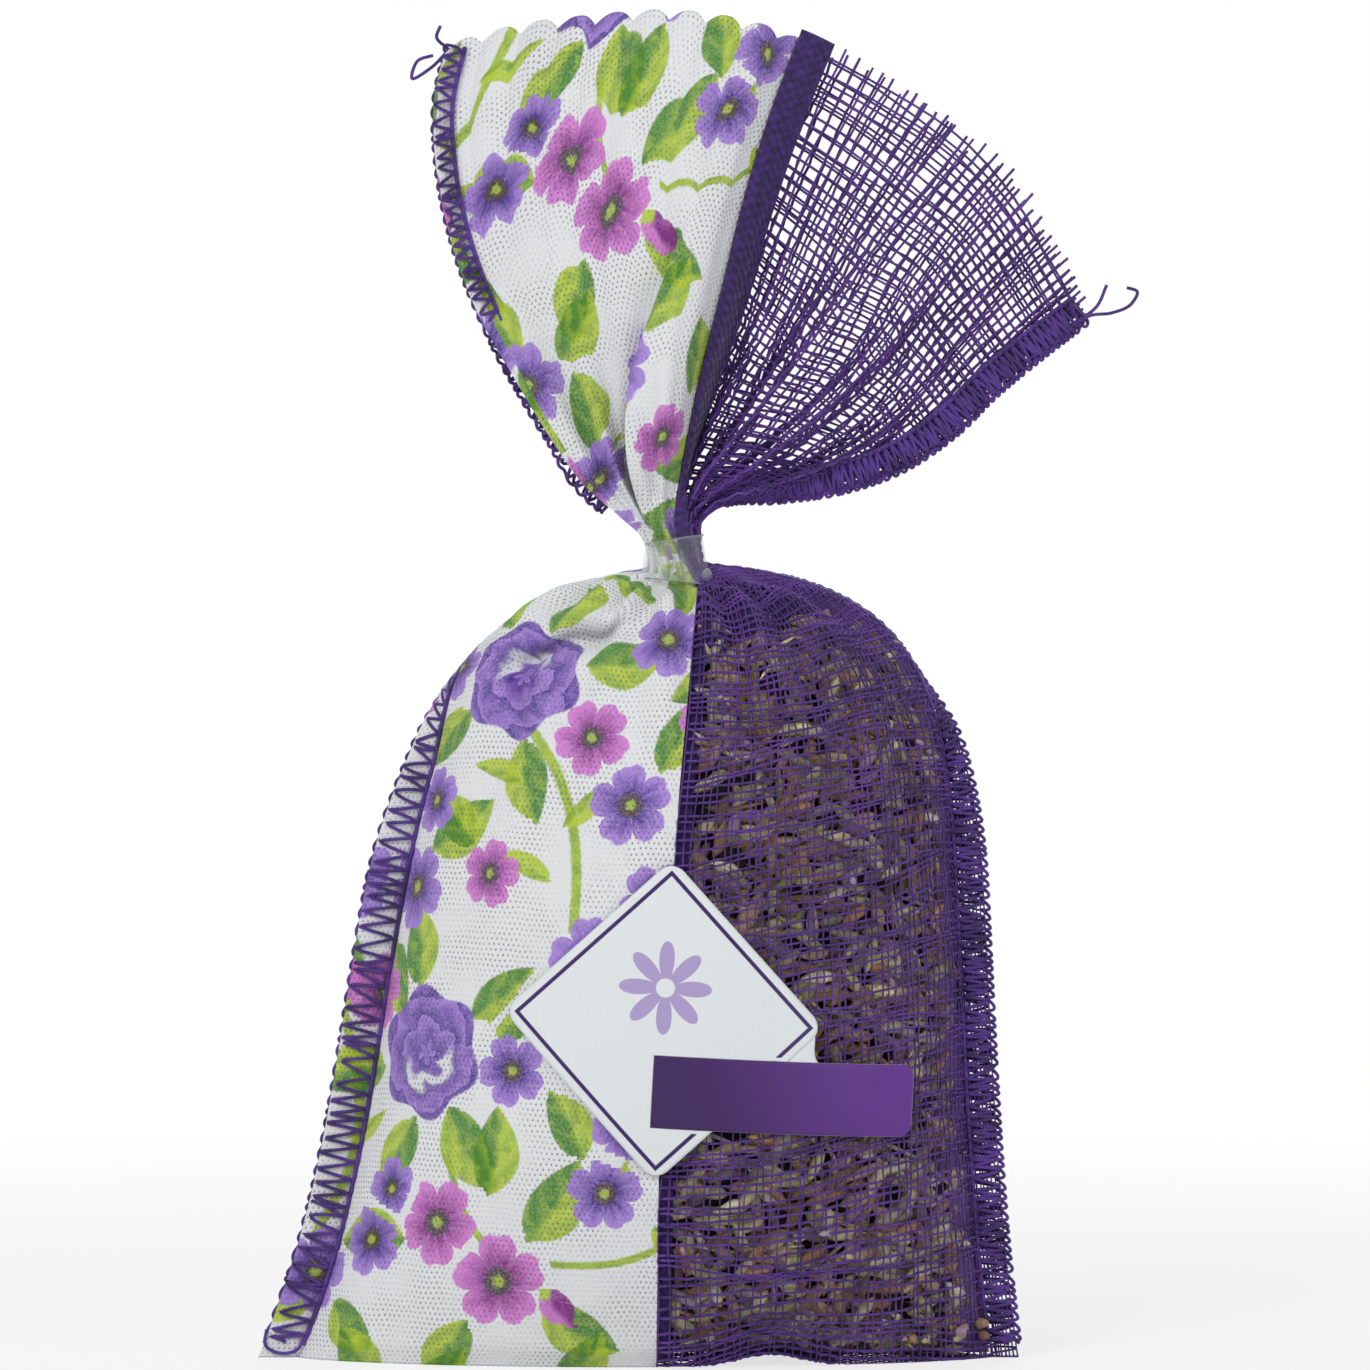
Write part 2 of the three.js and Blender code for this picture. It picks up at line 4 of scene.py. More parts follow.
import bpy
import numpy as np
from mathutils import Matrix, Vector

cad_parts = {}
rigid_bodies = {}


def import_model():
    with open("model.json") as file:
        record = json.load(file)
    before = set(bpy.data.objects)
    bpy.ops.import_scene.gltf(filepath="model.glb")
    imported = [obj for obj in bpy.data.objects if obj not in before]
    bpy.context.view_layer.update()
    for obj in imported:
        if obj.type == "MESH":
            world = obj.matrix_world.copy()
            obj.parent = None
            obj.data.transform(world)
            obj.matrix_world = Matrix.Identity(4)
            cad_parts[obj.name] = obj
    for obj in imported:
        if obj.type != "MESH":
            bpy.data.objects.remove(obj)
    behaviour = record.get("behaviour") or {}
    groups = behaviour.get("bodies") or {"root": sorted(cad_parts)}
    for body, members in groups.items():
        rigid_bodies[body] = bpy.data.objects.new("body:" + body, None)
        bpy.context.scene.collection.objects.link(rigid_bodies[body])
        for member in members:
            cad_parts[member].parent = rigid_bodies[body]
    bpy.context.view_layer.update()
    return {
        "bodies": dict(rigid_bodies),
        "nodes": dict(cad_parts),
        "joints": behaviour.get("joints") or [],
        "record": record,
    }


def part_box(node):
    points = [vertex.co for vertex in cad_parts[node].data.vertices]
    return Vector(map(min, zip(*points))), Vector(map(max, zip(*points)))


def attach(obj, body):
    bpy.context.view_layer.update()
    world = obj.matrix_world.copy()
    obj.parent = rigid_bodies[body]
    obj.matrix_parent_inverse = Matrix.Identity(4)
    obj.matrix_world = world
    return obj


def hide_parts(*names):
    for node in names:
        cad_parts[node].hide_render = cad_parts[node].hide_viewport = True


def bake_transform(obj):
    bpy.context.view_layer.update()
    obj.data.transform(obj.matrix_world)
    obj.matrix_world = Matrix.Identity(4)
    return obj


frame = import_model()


# Studio: a white floor and backdrop, and soft light from both sides. The camera faces the front
# through a long lens, from the height of the picture's middle.
MM = 0.001  # sizes below are in mm
PICTURE_WIDTH = 143.2  # what the picture spans, at the front of the bag
PICTURE_MIDDLE = np.array([4.7, -8, 71.2])
LENS = 150
SENSOR = 36
SKY_LIGHT = 0.4
FLOOR_SIZE = 4000
FLOOR_WHITE = (0.93, 0.93, 0.93, 1)
FLOOR_GLOW = 0.72  # share of the floor's own white under the object
SHADOW_START, SHADOW_END = 0.1, 0.35  # metres from the object, where its shadow fades out
LAMPS = {
    # place and size in mm, strength in watts
    "key_lamp": ((-520, -760, 620), 520, 4.2),
    "fill_lamp": ((640, -620, 260), 620, 1.6),
    "back_lamp": ((150, 620, 560), 420, 1.6),
}


class Value:
    """A socket that can stand in a sum: each operator adds a Math node to the socket's finish."""

    def __init__(self, finish, socket):
        self.finish = finish
        self.socket = socket

    def math(self, operation, *others):
        return self.finish.math(operation, self, *others)

    def between(self, low, high):
        """Eased from 0 at low to 1 at high."""
        limits = {"Value": self, "From Min": low, "From Max": high}
        return self.finish.node("MapRange", {"interpolation_type": "SMOOTHSTEP"}, limits)

    def __add__(self, other):
        return self.math("ADD", other)

    def __sub__(self, other):
        return self.math("SUBTRACT", other)

    def __rsub__(self, other):
        return self.finish.math("SUBTRACT", other, self)

    def __mul__(self, other):
        return self.math("MULTIPLY", other)

    def __truediv__(self, other):
        return self.math("DIVIDE", other)

    __radd__ = __add__
    __rmul__ = __mul__


class Finish:
    """The nodes of a material or world. node() adds one: its settings first, then its sockets."""

    def __init__(self, owner):
        owner.use_nodes = True
        self.owner = owner
        self.tree = owner.node_tree
        self.surface = self.tree.nodes.get("Principled BSDF") or self.tree.nodes["Background"]

    def feed(self, socket, value):
        if isinstance(value, Value):
            self.tree.links.new(value.socket, socket)
        else:
            socket.default_value = value

    def node(self, kind, settings=None, sockets=None, out=0):
        made = self.tree.nodes.new("ShaderNode" + kind)
        for name, value in (settings or {}).items():
            setattr(made, name, value)
        for name, value in (sockets or {}).items():
            self.feed(made.inputs[name], value)
        return Value(self, made.outputs[out])

    def math(self, operation, *values):
        return self.node("Math", {"operation": operation}, dict(enumerate(values)))

    def mix(self, share, first, second):
        """A colour between two, by share."""
        return self.node("Mix", {"data_type": "RGBA"}, {0: share, 6: first, 7: second}, out=2)

    def split(self, vector):
        first = self.node("SeparateXYZ", {}, {0: vector})
        return [Value(self, socket) for socket in first.socket.node.outputs]

    def noise(self, vector, scale, detail=2):
        return self.node("TexNoise", {}, {"Vector": vector, "Scale": scale, "Detail": detail})

    def seen(self):
        """1 for rays to the camera, also by way of a gloss or of clear plastic, and 0 for the rest."""
        camera = self.node("LightPath")
        rays = camera.socket.node.outputs
        seen = camera.math("MAXIMUM", Value(self, rays["Is Glossy Ray"]))
        return seen.math("MAXIMUM", Value(self, rays["Is Transmission Ray"]))

    def bump(self, height, depth, strength=1):
        """A normal from a height between 0 and 1 that stands for depth in mm."""
        sockets = {"Height": height, "Distance": depth * MM, "Strength": strength}
        return self.node("Bump", {}, sockets)

    def wear(self, **sockets):
        """Sets or links the shader's sockets, named with _ for a space."""
        for name, value in sockets.items():
            self.feed(self.surface.inputs[name.replace("_", " ")], value)
        return self.owner


def new_finish(name):
    return Finish(bpy.data.materials.new(name))


def link(name, data):
    thing = bpy.data.objects.new(name, data)
    bpy.context.collection.objects.link(thing)
    return thing


def paint(code):
    """A written screen colour, such as E8EEEE, as linear red, green, blue and alpha."""
    shares = np.array([int(code[i:i + 2], 16) for i in (0, 2, 4)]) / 255
    linear = np.where(shares < 0.04045, shares / 12.92, ((shares + 0.055) / 1.055) ** 2.4)
    return (*linear.tolist(), 1)


def build_studio():
    camera = link("camera", bpy.data.cameras.new("camera"))
    camera.data.lens = LENS
    camera.data.sensor_width = SENSOR
    camera.data.clip_start = 0.01
    away = PICTURE_WIDTH * LENS / SENSOR
    camera.location = (PICTURE_MIDDLE - np.array([0, away, 0])) * MM
    camera.rotation_euler = (math.pi / 2, 0, 0)
    bpy.context.scene.camera = camera
    bpy.context.scene.view_settings.view_transform = "Standard"

    sky = Finish(bpy.data.worlds.new("studio"))
    bpy.context.scene.world = sky.owner
    sky.wear(Color=(1, 1, 1, 1), Strength=SKY_LIGHT + sky.seen() * (1 - SKY_LIGHT))

    for name, (place, size, watts) in LAMPS.items():
        lamp = link(name, bpy.data.lights.new(name, "AREA"))
        lamp.data.energy = watts
        lamp.data.size = size * MM
        lamp.location = np.array(place) * MM
        aim = PICTURE_MIDDLE * MM - np.array(lamp.location)
        lamp.rotation_euler = Vector(aim).to_track_quat("-Z", "Y").to_euler()

    half = FLOOR_SIZE * MM / 2
    mesh = bpy.data.meshes.new("floor")
    mesh.from_pydata([(-half, -half, 0), (half, -half, 0), (half, half, 0), (-half, half, 0)], [],
                     [(0, 1, 2, 3)])
    floor = link("floor", mesh)
    white = new_finish("floor_white")
    place = white.node("TexCoord", out=3)
    far = white.node("VectorMath", {"operation": "LENGTH"}, {0: place}, out=1)
    white.wear(Base_Color=FLOOR_WHITE, Roughness=1, Specular_IOR_Level=0)
    glow = white.node("Emission", {}, {"Color": (1, 1, 1, 1)})
    share = white.seen() * (FLOOR_GLOW + far.between(SHADOW_START, SHADOW_END) * (1 - FLOOR_GLOW))
    shader = white.node("MixShader", {}, {0: share, 1: Value(white, white.surface.outputs[0]), 2: glow})
    white.feed(white.tree.nodes["Material Output"].inputs["Surface"], shader)
    mesh.materials.append(white.owner)


build_studio()


# Cotton half of the bag: plain-woven white cotton with a printed flower pattern. One strip runs down
# the front, round the folded base and up the back, and its left edge stands out as a seam allowance.
def box_mm(node):
    """Lowest and highest corner of a node, in mm."""
    return [np.array(corner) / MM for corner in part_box(node)]


PIVOTS = {joint["name"]: np.array(joint["pos_m"]) / MM for joint in frame["joints"]}
NECK_X = PIVOTS["neck_sway"][0]
BAG_HEIGHT = box_mm("gauze_bag_cloth")[1][2]
BAND_LOW, BAND_HIGH = [corner[2] for corner in box_mm("closure_band")]
BAND_MIDDLE = (BAND_LOW + BAND_HIGH) / 2
LEFT_ALLOWANCE = 4.2
RIGHT_ALLOWANCE = 3.1
BASE_LEFT = box_mm("floral_bag_cloth")[0][0] + LEFT_ALLOWANCE
BASE_RIGHT = box_mm("gauze_bag_cloth")[1][0] - RIGHT_ALLOWANCE
LEFT_SHOULDER = (-22.1, 61.8)  # across and height
RIGHT_SHOULDER = (33.2, 51.9)
BELLY = (16.5, 27)  # half its depth, and its height
# Lean of each side at its shoulder, then how far its curve is drawn up, in and down
LEFT_BEND = (0.397, 0.515, 0, 0.314)
RIGHT_BEND = (0.236, 0.676, 0.233, 0.074)
FRONT_BEND = (0, 0.47, 0.42, 0.04)
BASE_HALF_DEPTH = 10
RIM = 5.3  # radius where the dome of the bag turns up into the neck
LEFT_TOP, RIGHT_TOP, FRONT_TOP = BAND_LOW + 0.95, BAND_LOW + 1.5, BAND_LOW - 0.8  # of the dome
NECK_RADIUS = 2.3
SEAM_LINE = [(0, 1.7), (20, 2), (40, 2.8), (60, 4.1), (81, 6), (84.5, 5.2)]  # height, across
CLOTH_STEP = 0.4  # between the points of the cotton
BASE_ROWS = 24
BASE_ARCH = 1.3  # rise of the base's front edge under the gauze
BASE_ARCH_X, BASE_ARCH_WIDTH = 13.6, 5
PLEATS = 15  # round the neck
PLEAT_DEPTH = 1.7
PUCKER = 0.55  # height of the puckers along the side seam
WIDE_LUMPS, SMALL_LUMPS = 0.35, 0.15  # heights of the lumps from the buds
LAID_BACK = math.radians(80)  # how far the seam allowances turn back at the shoulders
SHOULDER_TURN = 62, 74  # heights between which they turn
LEFT_TUCK = 70, 76  # heights between which the left one goes out of sight
EDGE_HALF = 0.22  # half the thickness of an allowance
SHOULDER_TUCK = [(-14, 74.4), (-8.5, 76.8), (-4.5, 78), (0, 79.2)]  # across, height
TUCK_ROLL, TUCK_DIP, TUCK_DROP = 1.8, 2.4, 0.9  # its roll above, its dip below, and how far it hangs
COTTON_WHITE = paint("EDEFF1")
PAINTED_FOLD_SHADE = paint("2A2430")  # painted shade, deep in a fold
PAINTED_THREAD_SHADE = (0.55, 0.57, 0.6, 1)  # painted shade between the cotton's threads
# painted shade seen through the small holes of the weave
PAINTED_HOLE_SHADE = (0.09, 0.09, 0.1, 1)
WEAVE = 0.56  # from thread to thread
LEFT, RIGHT = -1, 1
FRONT, BACK = -1, 1


def smooth(low, high, value):
    """Eased from 0 at low to 1 at high."""
    t = np.clip((value - low) / (high - low), 0, 1)
    return t * t * (3 - 2 * t)


def unit(vectors):
    return vectors / np.maximum(np.linalg.norm(vectors, axis=-1, keepdims=True), 1e-9)


def lumps(x, y, seed):
    """Smooth noise from -1 to 1: random values on a lattice of whole numbers, eased in between."""
    table = np.random.default_rng(seed).uniform(-1, 1, (64, 64))
    column, row = np.floor(x).astype(int), np.floor(y).astype(int)
    u, v = smooth(0, 1, x - column), smooth(0, 1, y - row)
    low = table[row % 64, column % 64] * (1 - u) + table[row % 64, (column + 1) % 64] * u
    high = table[(row + 1) % 64, column % 64] * (1 - u) + table[(row + 1) % 64, (column + 1) % 64] * u
    return low * (1 - v) + high * v


def along(points, axis=0):
    """Distance of each point from the first, along the points or along one axis of a grid of them."""
    steps = np.diff(points, axis=axis, prepend=np.take(points, [0], axis))
    return np.cumsum(np.linalg.norm(steps, axis=-1), axis)


def cubic(points, steps=90):
    """Cubic curve: four points weighted by (1-t)^3, 3t(1-t)^2, 3t^2(1-t) and t^3."""
    t = np.linspace(0, 1, steps)[:, None]
    weights = np.hstack([(1 - t) ** 3, 3 * t * (1 - t) ** 2, 3 * t ** 2 * (1 - t), t ** 3])
    return weights @ np.array(points, float)


def bag_side(base, shoulder, bend, rim, neck, top):
    """Across and height of one side: from the floor to the shoulder, on to the rim of the dome, and
    up into the band."""
    reach, height = shoulder
    lean, up, inward, down = bend
    flare, draw, rise = reach - base, rim - reach, top - height
    lower = cubic([(base, 0), (base + 0.6 * flare, 0.29 * height),
                   (reach - lean * flare, 0.68 * height), (reach, height)])
    over = lean * flare / (0.32 * height) * up * rise
    upper = cubic([(reach, height), (reach + over, height + up * rise),
                   (reach + inward * draw, top - down * rise), (rim, top)])
    bunch = cubic([(rim, top), ((rim + neck) / 2, top + 0.1), (neck, top + 0.3), (neck, BAND_MIDDLE)])
    return np.vstack([lower, upper[1:], bunch[1:]])


left_side = bag_side(BASE_LEFT, LEFT_SHOULDER, LEFT_BEND, NECK_X - RIM, NECK_X - NECK_RADIUS, LEFT_TOP)
right_side = bag_side(BASE_RIGHT, RIGHT_SHOULDER, RIGHT_BEND, NECK_X + RIM, NECK_X + NECK_RADIUS, RIGHT_TOP)
depth_side = bag_side(BASE_HALF_DEPTH, BELLY, FRONT_BEND, RIM, NECK_RADIUS, FRONT_TOP)
side_of = {LEFT: left_side, RIGHT: right_side}
allowance_of = {LEFT: LEFT_ALLOWANCE, RIGHT: RIGHT_ALLOWANCE}


def read(side, height):
    return np.interp(height, side[:, 1], side[:, 0])


def bag_depth(across, height):
    """Half the bag's depth where across runs from -1 to 1 between the side seams: the depth at that
    height times (1 - across^2.2)^0.7."""
    return read(depth_side, height) * np.maximum(1 - np.abs(across) ** 2.2, 0) ** 0.7


def side_frame(hand, height):
    """Points of a side seam at some heights, with the directions out along its allowance and to the
    allowance's back, and the widths. Towards the neck the allowance narrows and lies back behind the
    shoulder, on the left tucked in behind it."""
    side = side_of[hand]
    slope = unit(np.gradient(side, axis=0))
    share = along(side) / along(side)[-1]
    seam = np.stack([read(side, height), np.zeros_like(height), height], -1)
    turn = [np.interp(height, side[:, 1], slope[:, i]) for i in (0, 1)]
    turn[0] = turn[0] * smooth(0, 9, height)
    out = unit(np.stack([hand * turn[1], np.zeros_like(height), -hand * turn[0]], -1))
    place = np.interp(height, side[:, 1], share)
    narrow = (1 - 0.6 * smooth(0.5, 0.8, place)) * (1 - 0.9 * smooth(0.88, 0.95, place))
    lean = LAID_BACK * smooth(*SHOULDER_TURN, height)[:, None]
    back = np.array([0, 1.0, 0])
    tucked = (hand == LEFT) * smooth(*LEFT_TUCK, height) * (1 - smooth(0.88, 0.95, place))
    seam = seam + tucked[:, None] * (2 * back - 0.5 * out)
    turned_out = out * np.cos(lean) + back * np.sin(lean)
    return seam, turned_out, back * np.cos(lean) - out * np.sin(lean), allowance_of[hand] * narrow


def half_layer(hand, face, heights, columns, edge_columns):
    """One layer of one half of the bag at some heights: even columns from the middle seam round the
    bulge to the side seam, then straight out over the seam allowance."""
    level = heights[:, None]
    low, high = read(left_side, level), read(right_side, level)
    middle, reach = (low + high) / 2, (high - low) / 2
    seam = (np.interp(level, *np.array(SEAM_LINE).T) - middle) / reach
    fine = seam + (hand - seam) * np.sin(np.linspace(0, math.pi / 2, 161))
    step = np.hypot(np.diff(fine * reach), np.diff(bag_depth(fine, level)))
    arc = np.hstack([np.zeros_like(level), np.cumsum(step, axis=1)])
    even = np.linspace(0, 1, columns)
    across = np.stack([np.interp(even * a[-1], a, f) for a, f in zip(arc, fine)])
    arch = np.exp(-((middle + reach * across - BASE_ARCH_X) / BASE_ARCH_WIDTH) ** 2)
    lift = BASE_ARCH * arch * smooth(9, 0, level)
    tuck = 1 - 0.1 * smooth(3, 0, level) ** 2
    face_points = np.stack([
        middle + reach * across,
        face * bag_depth(across, level) * tuck,
        level + lift * (face == FRONT),
    ], -1)
    seam_points, out, back, width = side_frame(hand, heights)
    spread = np.linspace(0, 1, edge_columns + 1)[1:, None]
    edge_points = seam_points[:, None] + out[:, None] * width[:, None, None] * spread
    edge_points += back[:, None] * face * EDGE_HALF * smooth(0, 0.3, spread)
    return np.concatenate([face_points, edge_points], 1)


def level_path():
    """Heights from the floor to the band, and the cloth's length up to each, by its longest side."""
    heights = np.linspace(0, BAND_MIDDLE, 6000)
    reach = np.stack([read(side, heights) for side in (left_side, right_side, depth_side)])
    steps = np.hypot(np.diff(reach, axis=1), np.diff(heights)).max(0)
    return heights, np.concatenate([[0], np.cumsum(steps)])


def level_heights(rows):
    """Heights from the floor to the band, at even steps along the cloth."""
    heights, length = level_path()
    return np.interp(np.linspace(0, length[-1], rows), length, heights)


def grid_normals(grid):
    return unit(np.cross(np.gradient(grid, axis=1), np.gradient(grid, axis=0)))


def flat_places(grid, base_row):
    """Each point's distance from the middle seam along its row, and up from the base along its column."""
    length = along(grid)
    return along(grid, 1), length[base_row] - length


def half_bag(hand, rows, columns, edge_columns):
    """One half of the bag as a grid: rows run down the front, across the base and up the back. The
    cloth is drawn into pleats towards the neck, puckers along its side seam, and takes soft lumps
    from the buds behind it. Also gives outward normals, each point's place on the flat cloth, and how
    deep it lies in a sharp fold, as a mask for painted shade."""
    front = half_layer(hand, FRONT, level_heights(rows), columns, edge_columns)
    back = half_layer(hand, BACK, level_heights(rows), columns, edge_columns)
    share = np.linspace(0, 1, BASE_ROWS + 2)[1:-1, None, None]
    base = front[0] * (1 - share) + back[0] * share
    grid = np.concatenate([front[::-1], base, back])
    normals = -hand * grid_normals(grid)

    across, up = flat_places(grid, rows - 1)
    x, y, z = np.moveaxis(grid, -1, 0)
    angle, radius = np.arctan2(y, x - NECK_X), np.hypot(x - NECK_X, y)
    girth = (read(right_side, z) - read(left_side, z)) / 2 + read(depth_side, z)
    spare = 1 - np.minimum(girth / girth.max(), 1)
    pleat = np.cos(PLEATS * angle + 1.3 * np.sin(2 * angle) + 0.9 * lumps(angle * 2 + 9, z / 16, 4))
    from_seam = across[:, columns - 1:columns] - across
    seam_pull = np.exp(-np.abs(from_seam) / 5) * smooth(0, 2, from_seam)
    ripple = np.minimum(PLEAT_DEPTH * spare, 0.14 * radius) * pleat * smooth(0, 3, from_seam)
    ripple *= 1 - 0.8 * smooth(FRONT_TOP - 1.5, BAND_LOW + 0.5, z)
    over = np.clip((z - np.interp(x, *np.array(SHOULDER_TUCK).T)) / 1.1, -6, 6)
    hang = (hand == LEFT) * smooth(-16, -11, x) * smooth(0.5, -4, x) * (y < 0)
    ripple += hang * TUCK_ROLL / (1 + np.exp(-2.5 * over)) * np.exp(-((over - 0.8) / 2.4) ** 2)
    ripple -= hang * TUCK_DIP * np.exp(-((over + 1.1) / 1.1) ** 2)
    sink = hang * TUCK_DROP * over * np.exp(0.5 - over ** 2 / 2)
    ripple += PUCKER * seam_pull * lumps(up / 4.5, across / 15, 5)
    ripple += smooth(0, 6, from_seam) * (WIDE_LUMPS * lumps(across / 9, up / 9, 6)
                                         + SMALL_LUMPS * lumps(across / 4, up / 4, 7))
    grid = grid + normals * (ripple * smooth(0.2, 4, z))[..., None]
    grid[..., 2] -= sink
    # painted shade: how deep the cloth lies in the groove under the tuck's lip, to darken its colour
    fold = hang * np.exp(-((over + 0.7) / 0.6) ** 2)
    return grid, normals, *flat_places(grid, rows - 1), fold


def grid_faces(rows, columns, flip=False):
    """Quads between the points of a grid that is numbered row by row."""
    i = np.arange(rows * columns).reshape(rows, columns)
    quads = np.stack([i[:-1, :-1], i[:-1, 1:], i[1:, 1:], i[1:, :-1]], -1).reshape(-1, 4)
    return quads[:, ::-1] if flip else quads


def make_piece(name, points, faces, finish, flat=None, **attributes):
    """A smooth mesh at the origin from points in mm, lists of faces, an optional UV map of flat
    places in mm, and colours or numbers on its points."""
    mesh = bpy.data.meshes.new(name)
    points = np.reshape(points, (-1, 3)) * MM
    mesh.from_pydata(points.tolist(), [], [face for group in faces for face in group.tolist()])
    if flat is not None:
        corner = np.zeros(len(mesh.loops), int)
        mesh.loops.foreach_get("vertex_index", corner)
        layer = mesh.uv_layers.new(name="flat")
        layer.data.foreach_set("uv", np.reshape(flat, (-1, 2))[corner].astype(np.float32).ravel())
    for label, values in attributes.items():
        kinds = {1: ("FLOAT", "value"), 3: ("FLOAT_VECTOR", "vector"), 4: ("FLOAT_COLOR", "color")}
        kind, field = kinds[values.shape[-1]]
        layer = mesh.attributes.new(label, kind, "POINT")
        layer.data.foreach_set(field, values.astype(np.float32).ravel())
    mesh.polygons.foreach_set("use_smooth", np.ones(len(mesh.polygons), bool))
    mesh.materials.append(finish)
    return link(name, mesh)


# The print: posies of flowers, leaves and buds on vines, repeated over a tile of the cloth
PRINT_SCALE = 1.12  # size of the cloth's print for the numbers below
TILE = np.array([50.0, 120.0])
VIOLETS = paint("4E2A98"), paint("AE86E2")
PINKS = paint("8E2890"), paint("DC82DA")
GREENS = paint("4E8E28"), paint("BCD43C")
HEART, HEART_DOT = paint("523C4C"), paint("A8C03E")
OUTSIDE = -99  # tint of a point that lies in no motif
MOTIF_REACH = 1.25  # how far a motif's own cloth goes, in its size
ROUND_MOTIFS = "flower", "rose"
POSIES = {
    # by kind of motif: place from the posy's middle, size, turn in degrees, tint
    "rose_posy": {
        "rose": [(0, 0, 6.6, 0, 0)],
        "leaf": [
            (4.6, 3.6, 9.5, 34, 0), (1.2, 6, 8.5, 92, 0), (-5.4, 3.4, 9, 150, 0), (-3.4, -5.2, 8.5, 236, 0),
            (3.6, -5, 8, 300, 0),
        ],
        "flower": [(9.4, -2.2, 3.5, 10, 0), (-9.6, -2.6, 3.9, 40, 1)],
        "vine": [(6.5, 8, 15, 30, 0)],
        "bud": [(19.4, 15.6, 5.6, 28, 1)],
    },
    "pair": {
        "flower": [(0, 0, 4.7, 15, 1), (6.4, 5.2, 4.3, 50, 1)],
        "leaf": [(-2.6, 4, 9.5, 122, 0), (9.8, 3.4, 9, -4, 0), (3, -4, 8.4, 292, 0), (-4.2, -2, 9, 214, 0)],
        "top_leaf": [(1.4, 8, 8.6, 96, 0), (-10.4, 7.6, 5, 110, 1), (-14.4, 6, 5, 232, 1)],
        "vine": [(-5, 2, 16, 160, 0)],
        "bud": [(-20, 8.2, 5.2, 148, 1)],
    },
    "spray": {
        "vine": [(0, 0, 22, 80, 0)],
        "top_leaf": [(1.6, 5, 6.6, 30, 1), (0.2, 9.8, 6.2, 142, 1), (3.6, 14.6, 6.4, 24, 1)],
        "bud": [(3.9, 21.4, 5.8, 86, 1)],
        "flower": [(-1.4, -3, 4.4, 20, 0), (-8, 1.8, 3.7, 60, 0)],
        "leaf": [(-5.2, -5, 7.6, 206, 0), (2.8, -4.2, 8.2, 318, 0)],
    },
    "filling": {
        "flower": [
            (3, 24, 3.6, 0, 0), (46, 30, 4.2, 30, 0), (26, 54, 3.4, 10, 0), (47, 62, 3.8, 10, 1),
            (2.5, 70, 4, 40, 0), (24, 79, 3.6, 20, 1), (46, 88, 4, 0, 0), (18, 104, 4.2, 15, 0),
            (4, 107, 3.4, 5, 1), (27, 114, 4.4, 25, 0), (44, 2, 4, 45, 1), (27, 17, 3.2, 10, 0),
            (4.5, 54, 4, 10, 0), (18, 47, 3.4, 30, 1), (5, 18, 3.7, 20, 0), (11.5, 114, 4.4, 0, 0),
            (31, 66, 3.6, 0, 1),
        ],
        "top_leaf": [
            (48, 33, 8, 60, 0), (44, 35, 8, 120, 0), (19, 107, 8.5, 70, 0), (15, 106, 8, 140, 0),
            (1, 111, 8, 80, 0), (27, 117, 8, 60, 0), (23, 116, 8, 130, 0), (24, 83, 7, 110, 0),
            (49, 91, 8, 20, 0), (2, 73, 8, 95, 0), (41, 4, 7.6, 140, 0), (20, 49.5, 7.5, 40, 0),
            (7, 21, 7.5, 60, 0), (9, 117.5, 8, 120, 0), (33, 62, 8, 300, 0), (2, 57, 7.6, 110, 0),
        ],
    },
}
POSY_PLACES = [
    # posy, place from the middle seam and up from the base, turn in degrees, tint to add
    ("pair", 15, 9, 0, 0), ("spray", 37, 12, 12, 0), ("rose_posy", 24, 30, 200, 0),
    ("spray", 9, 42, 350, 0), ("pair", 36, 47, 150, 1), ("rose_posy", 17, 66, 20, 0),
    ("spray", 40, 70, 20, 1), ("pair", 10, 88, 40, 1), ("spray", 28, 90, 340, 0),
    ("rose_posy", 40, 103, 130, 1), ("filling", 0, 0, 0, 0),
]


def turned(places, angle):
    c, s = math.cos(angle), math.sin(angle)
    return places @ np.array([[c, s], [-s, c]])


def motif_lists():
    """Every motif of the tile, by kind in the order of printing: place, size, turn and tint."""
    motifs = {"vine": [], "leaf": [], "top_leaf": [], "bud": [], "flower": [], "rose": []}
    for posy, across, up, turn, tint in POSY_PLACES:
        for kind, rows in POSIES[posy].items():
            for x, y, size, own_turn, own_tint in rows:
                place = turned(np.array([x, y]), math.radians(turn)) + [across, up]
                mixed = own_tint if "leaf" in kind else (own_tint + tint) % 2
                motifs[kind].append((place, size, math.radians(turn + own_turn), mixed))
    return motifs


def motif_frames(across, up):
    """For each kind of motif, each cloth point's place in the nearest one, for the finish to draw from:
    along it, aside of it, both in its own size, and 1 plus its tint. A point beside another motif's
    lies outside."""
    flat = np.stack([across, up], -1) / PRINT_SCALE
    frames = {}
    for kind, motifs in motif_lists().items():
        owner = np.full(across.shape, -1)
        nearest = np.full(across.shape, MOTIF_REACH)
        frame = np.full((*across.shape, 3), float(OUTSIDE))
        for number, (place, size, turn, tint) in enumerate(motifs):
            own = turned((flat - place + TILE / 2) % TILE - TILE / 2, -turn) / size
            distance = np.linalg.norm(own, axis=-1)
            if kind not in ROUND_MOTIFS:
                length = np.clip(own[..., 0], 0, 1)
                bend = {"vine": 0.12, "bud": 0}.get(kind, 0.06)
                swell = np.maximum(np.sin(math.pi * length ** 0.85), 0)
                half = 0.1 if kind == "vine" else 0.06 + 0.27 * swell
                side = np.abs(own[..., 1] - bend * np.sin(math.pi * length))
                distance = np.maximum(np.abs(own[..., 0] - 0.5) / 0.5, side / half)
            near = distance < nearest
            nearest[near] = distance[near]
            owner[near] = number
            frame[near, :2] = own[near]
            frame[near, 2] = 1 + tint
        rim = np.zeros(across.shape, bool)
        down, side = np.diff(owner, axis=0) != 0, np.diff(owner, axis=1) != 0
        rim[1:] |= down
        rim[:-1] |= down
        rim[:, 1:] |= side
        rim[:, :-1] |= side
        frame[rim, 2] = OUTSIDE
        frames[kind] = frame.reshape(-1, 3)
    return frames


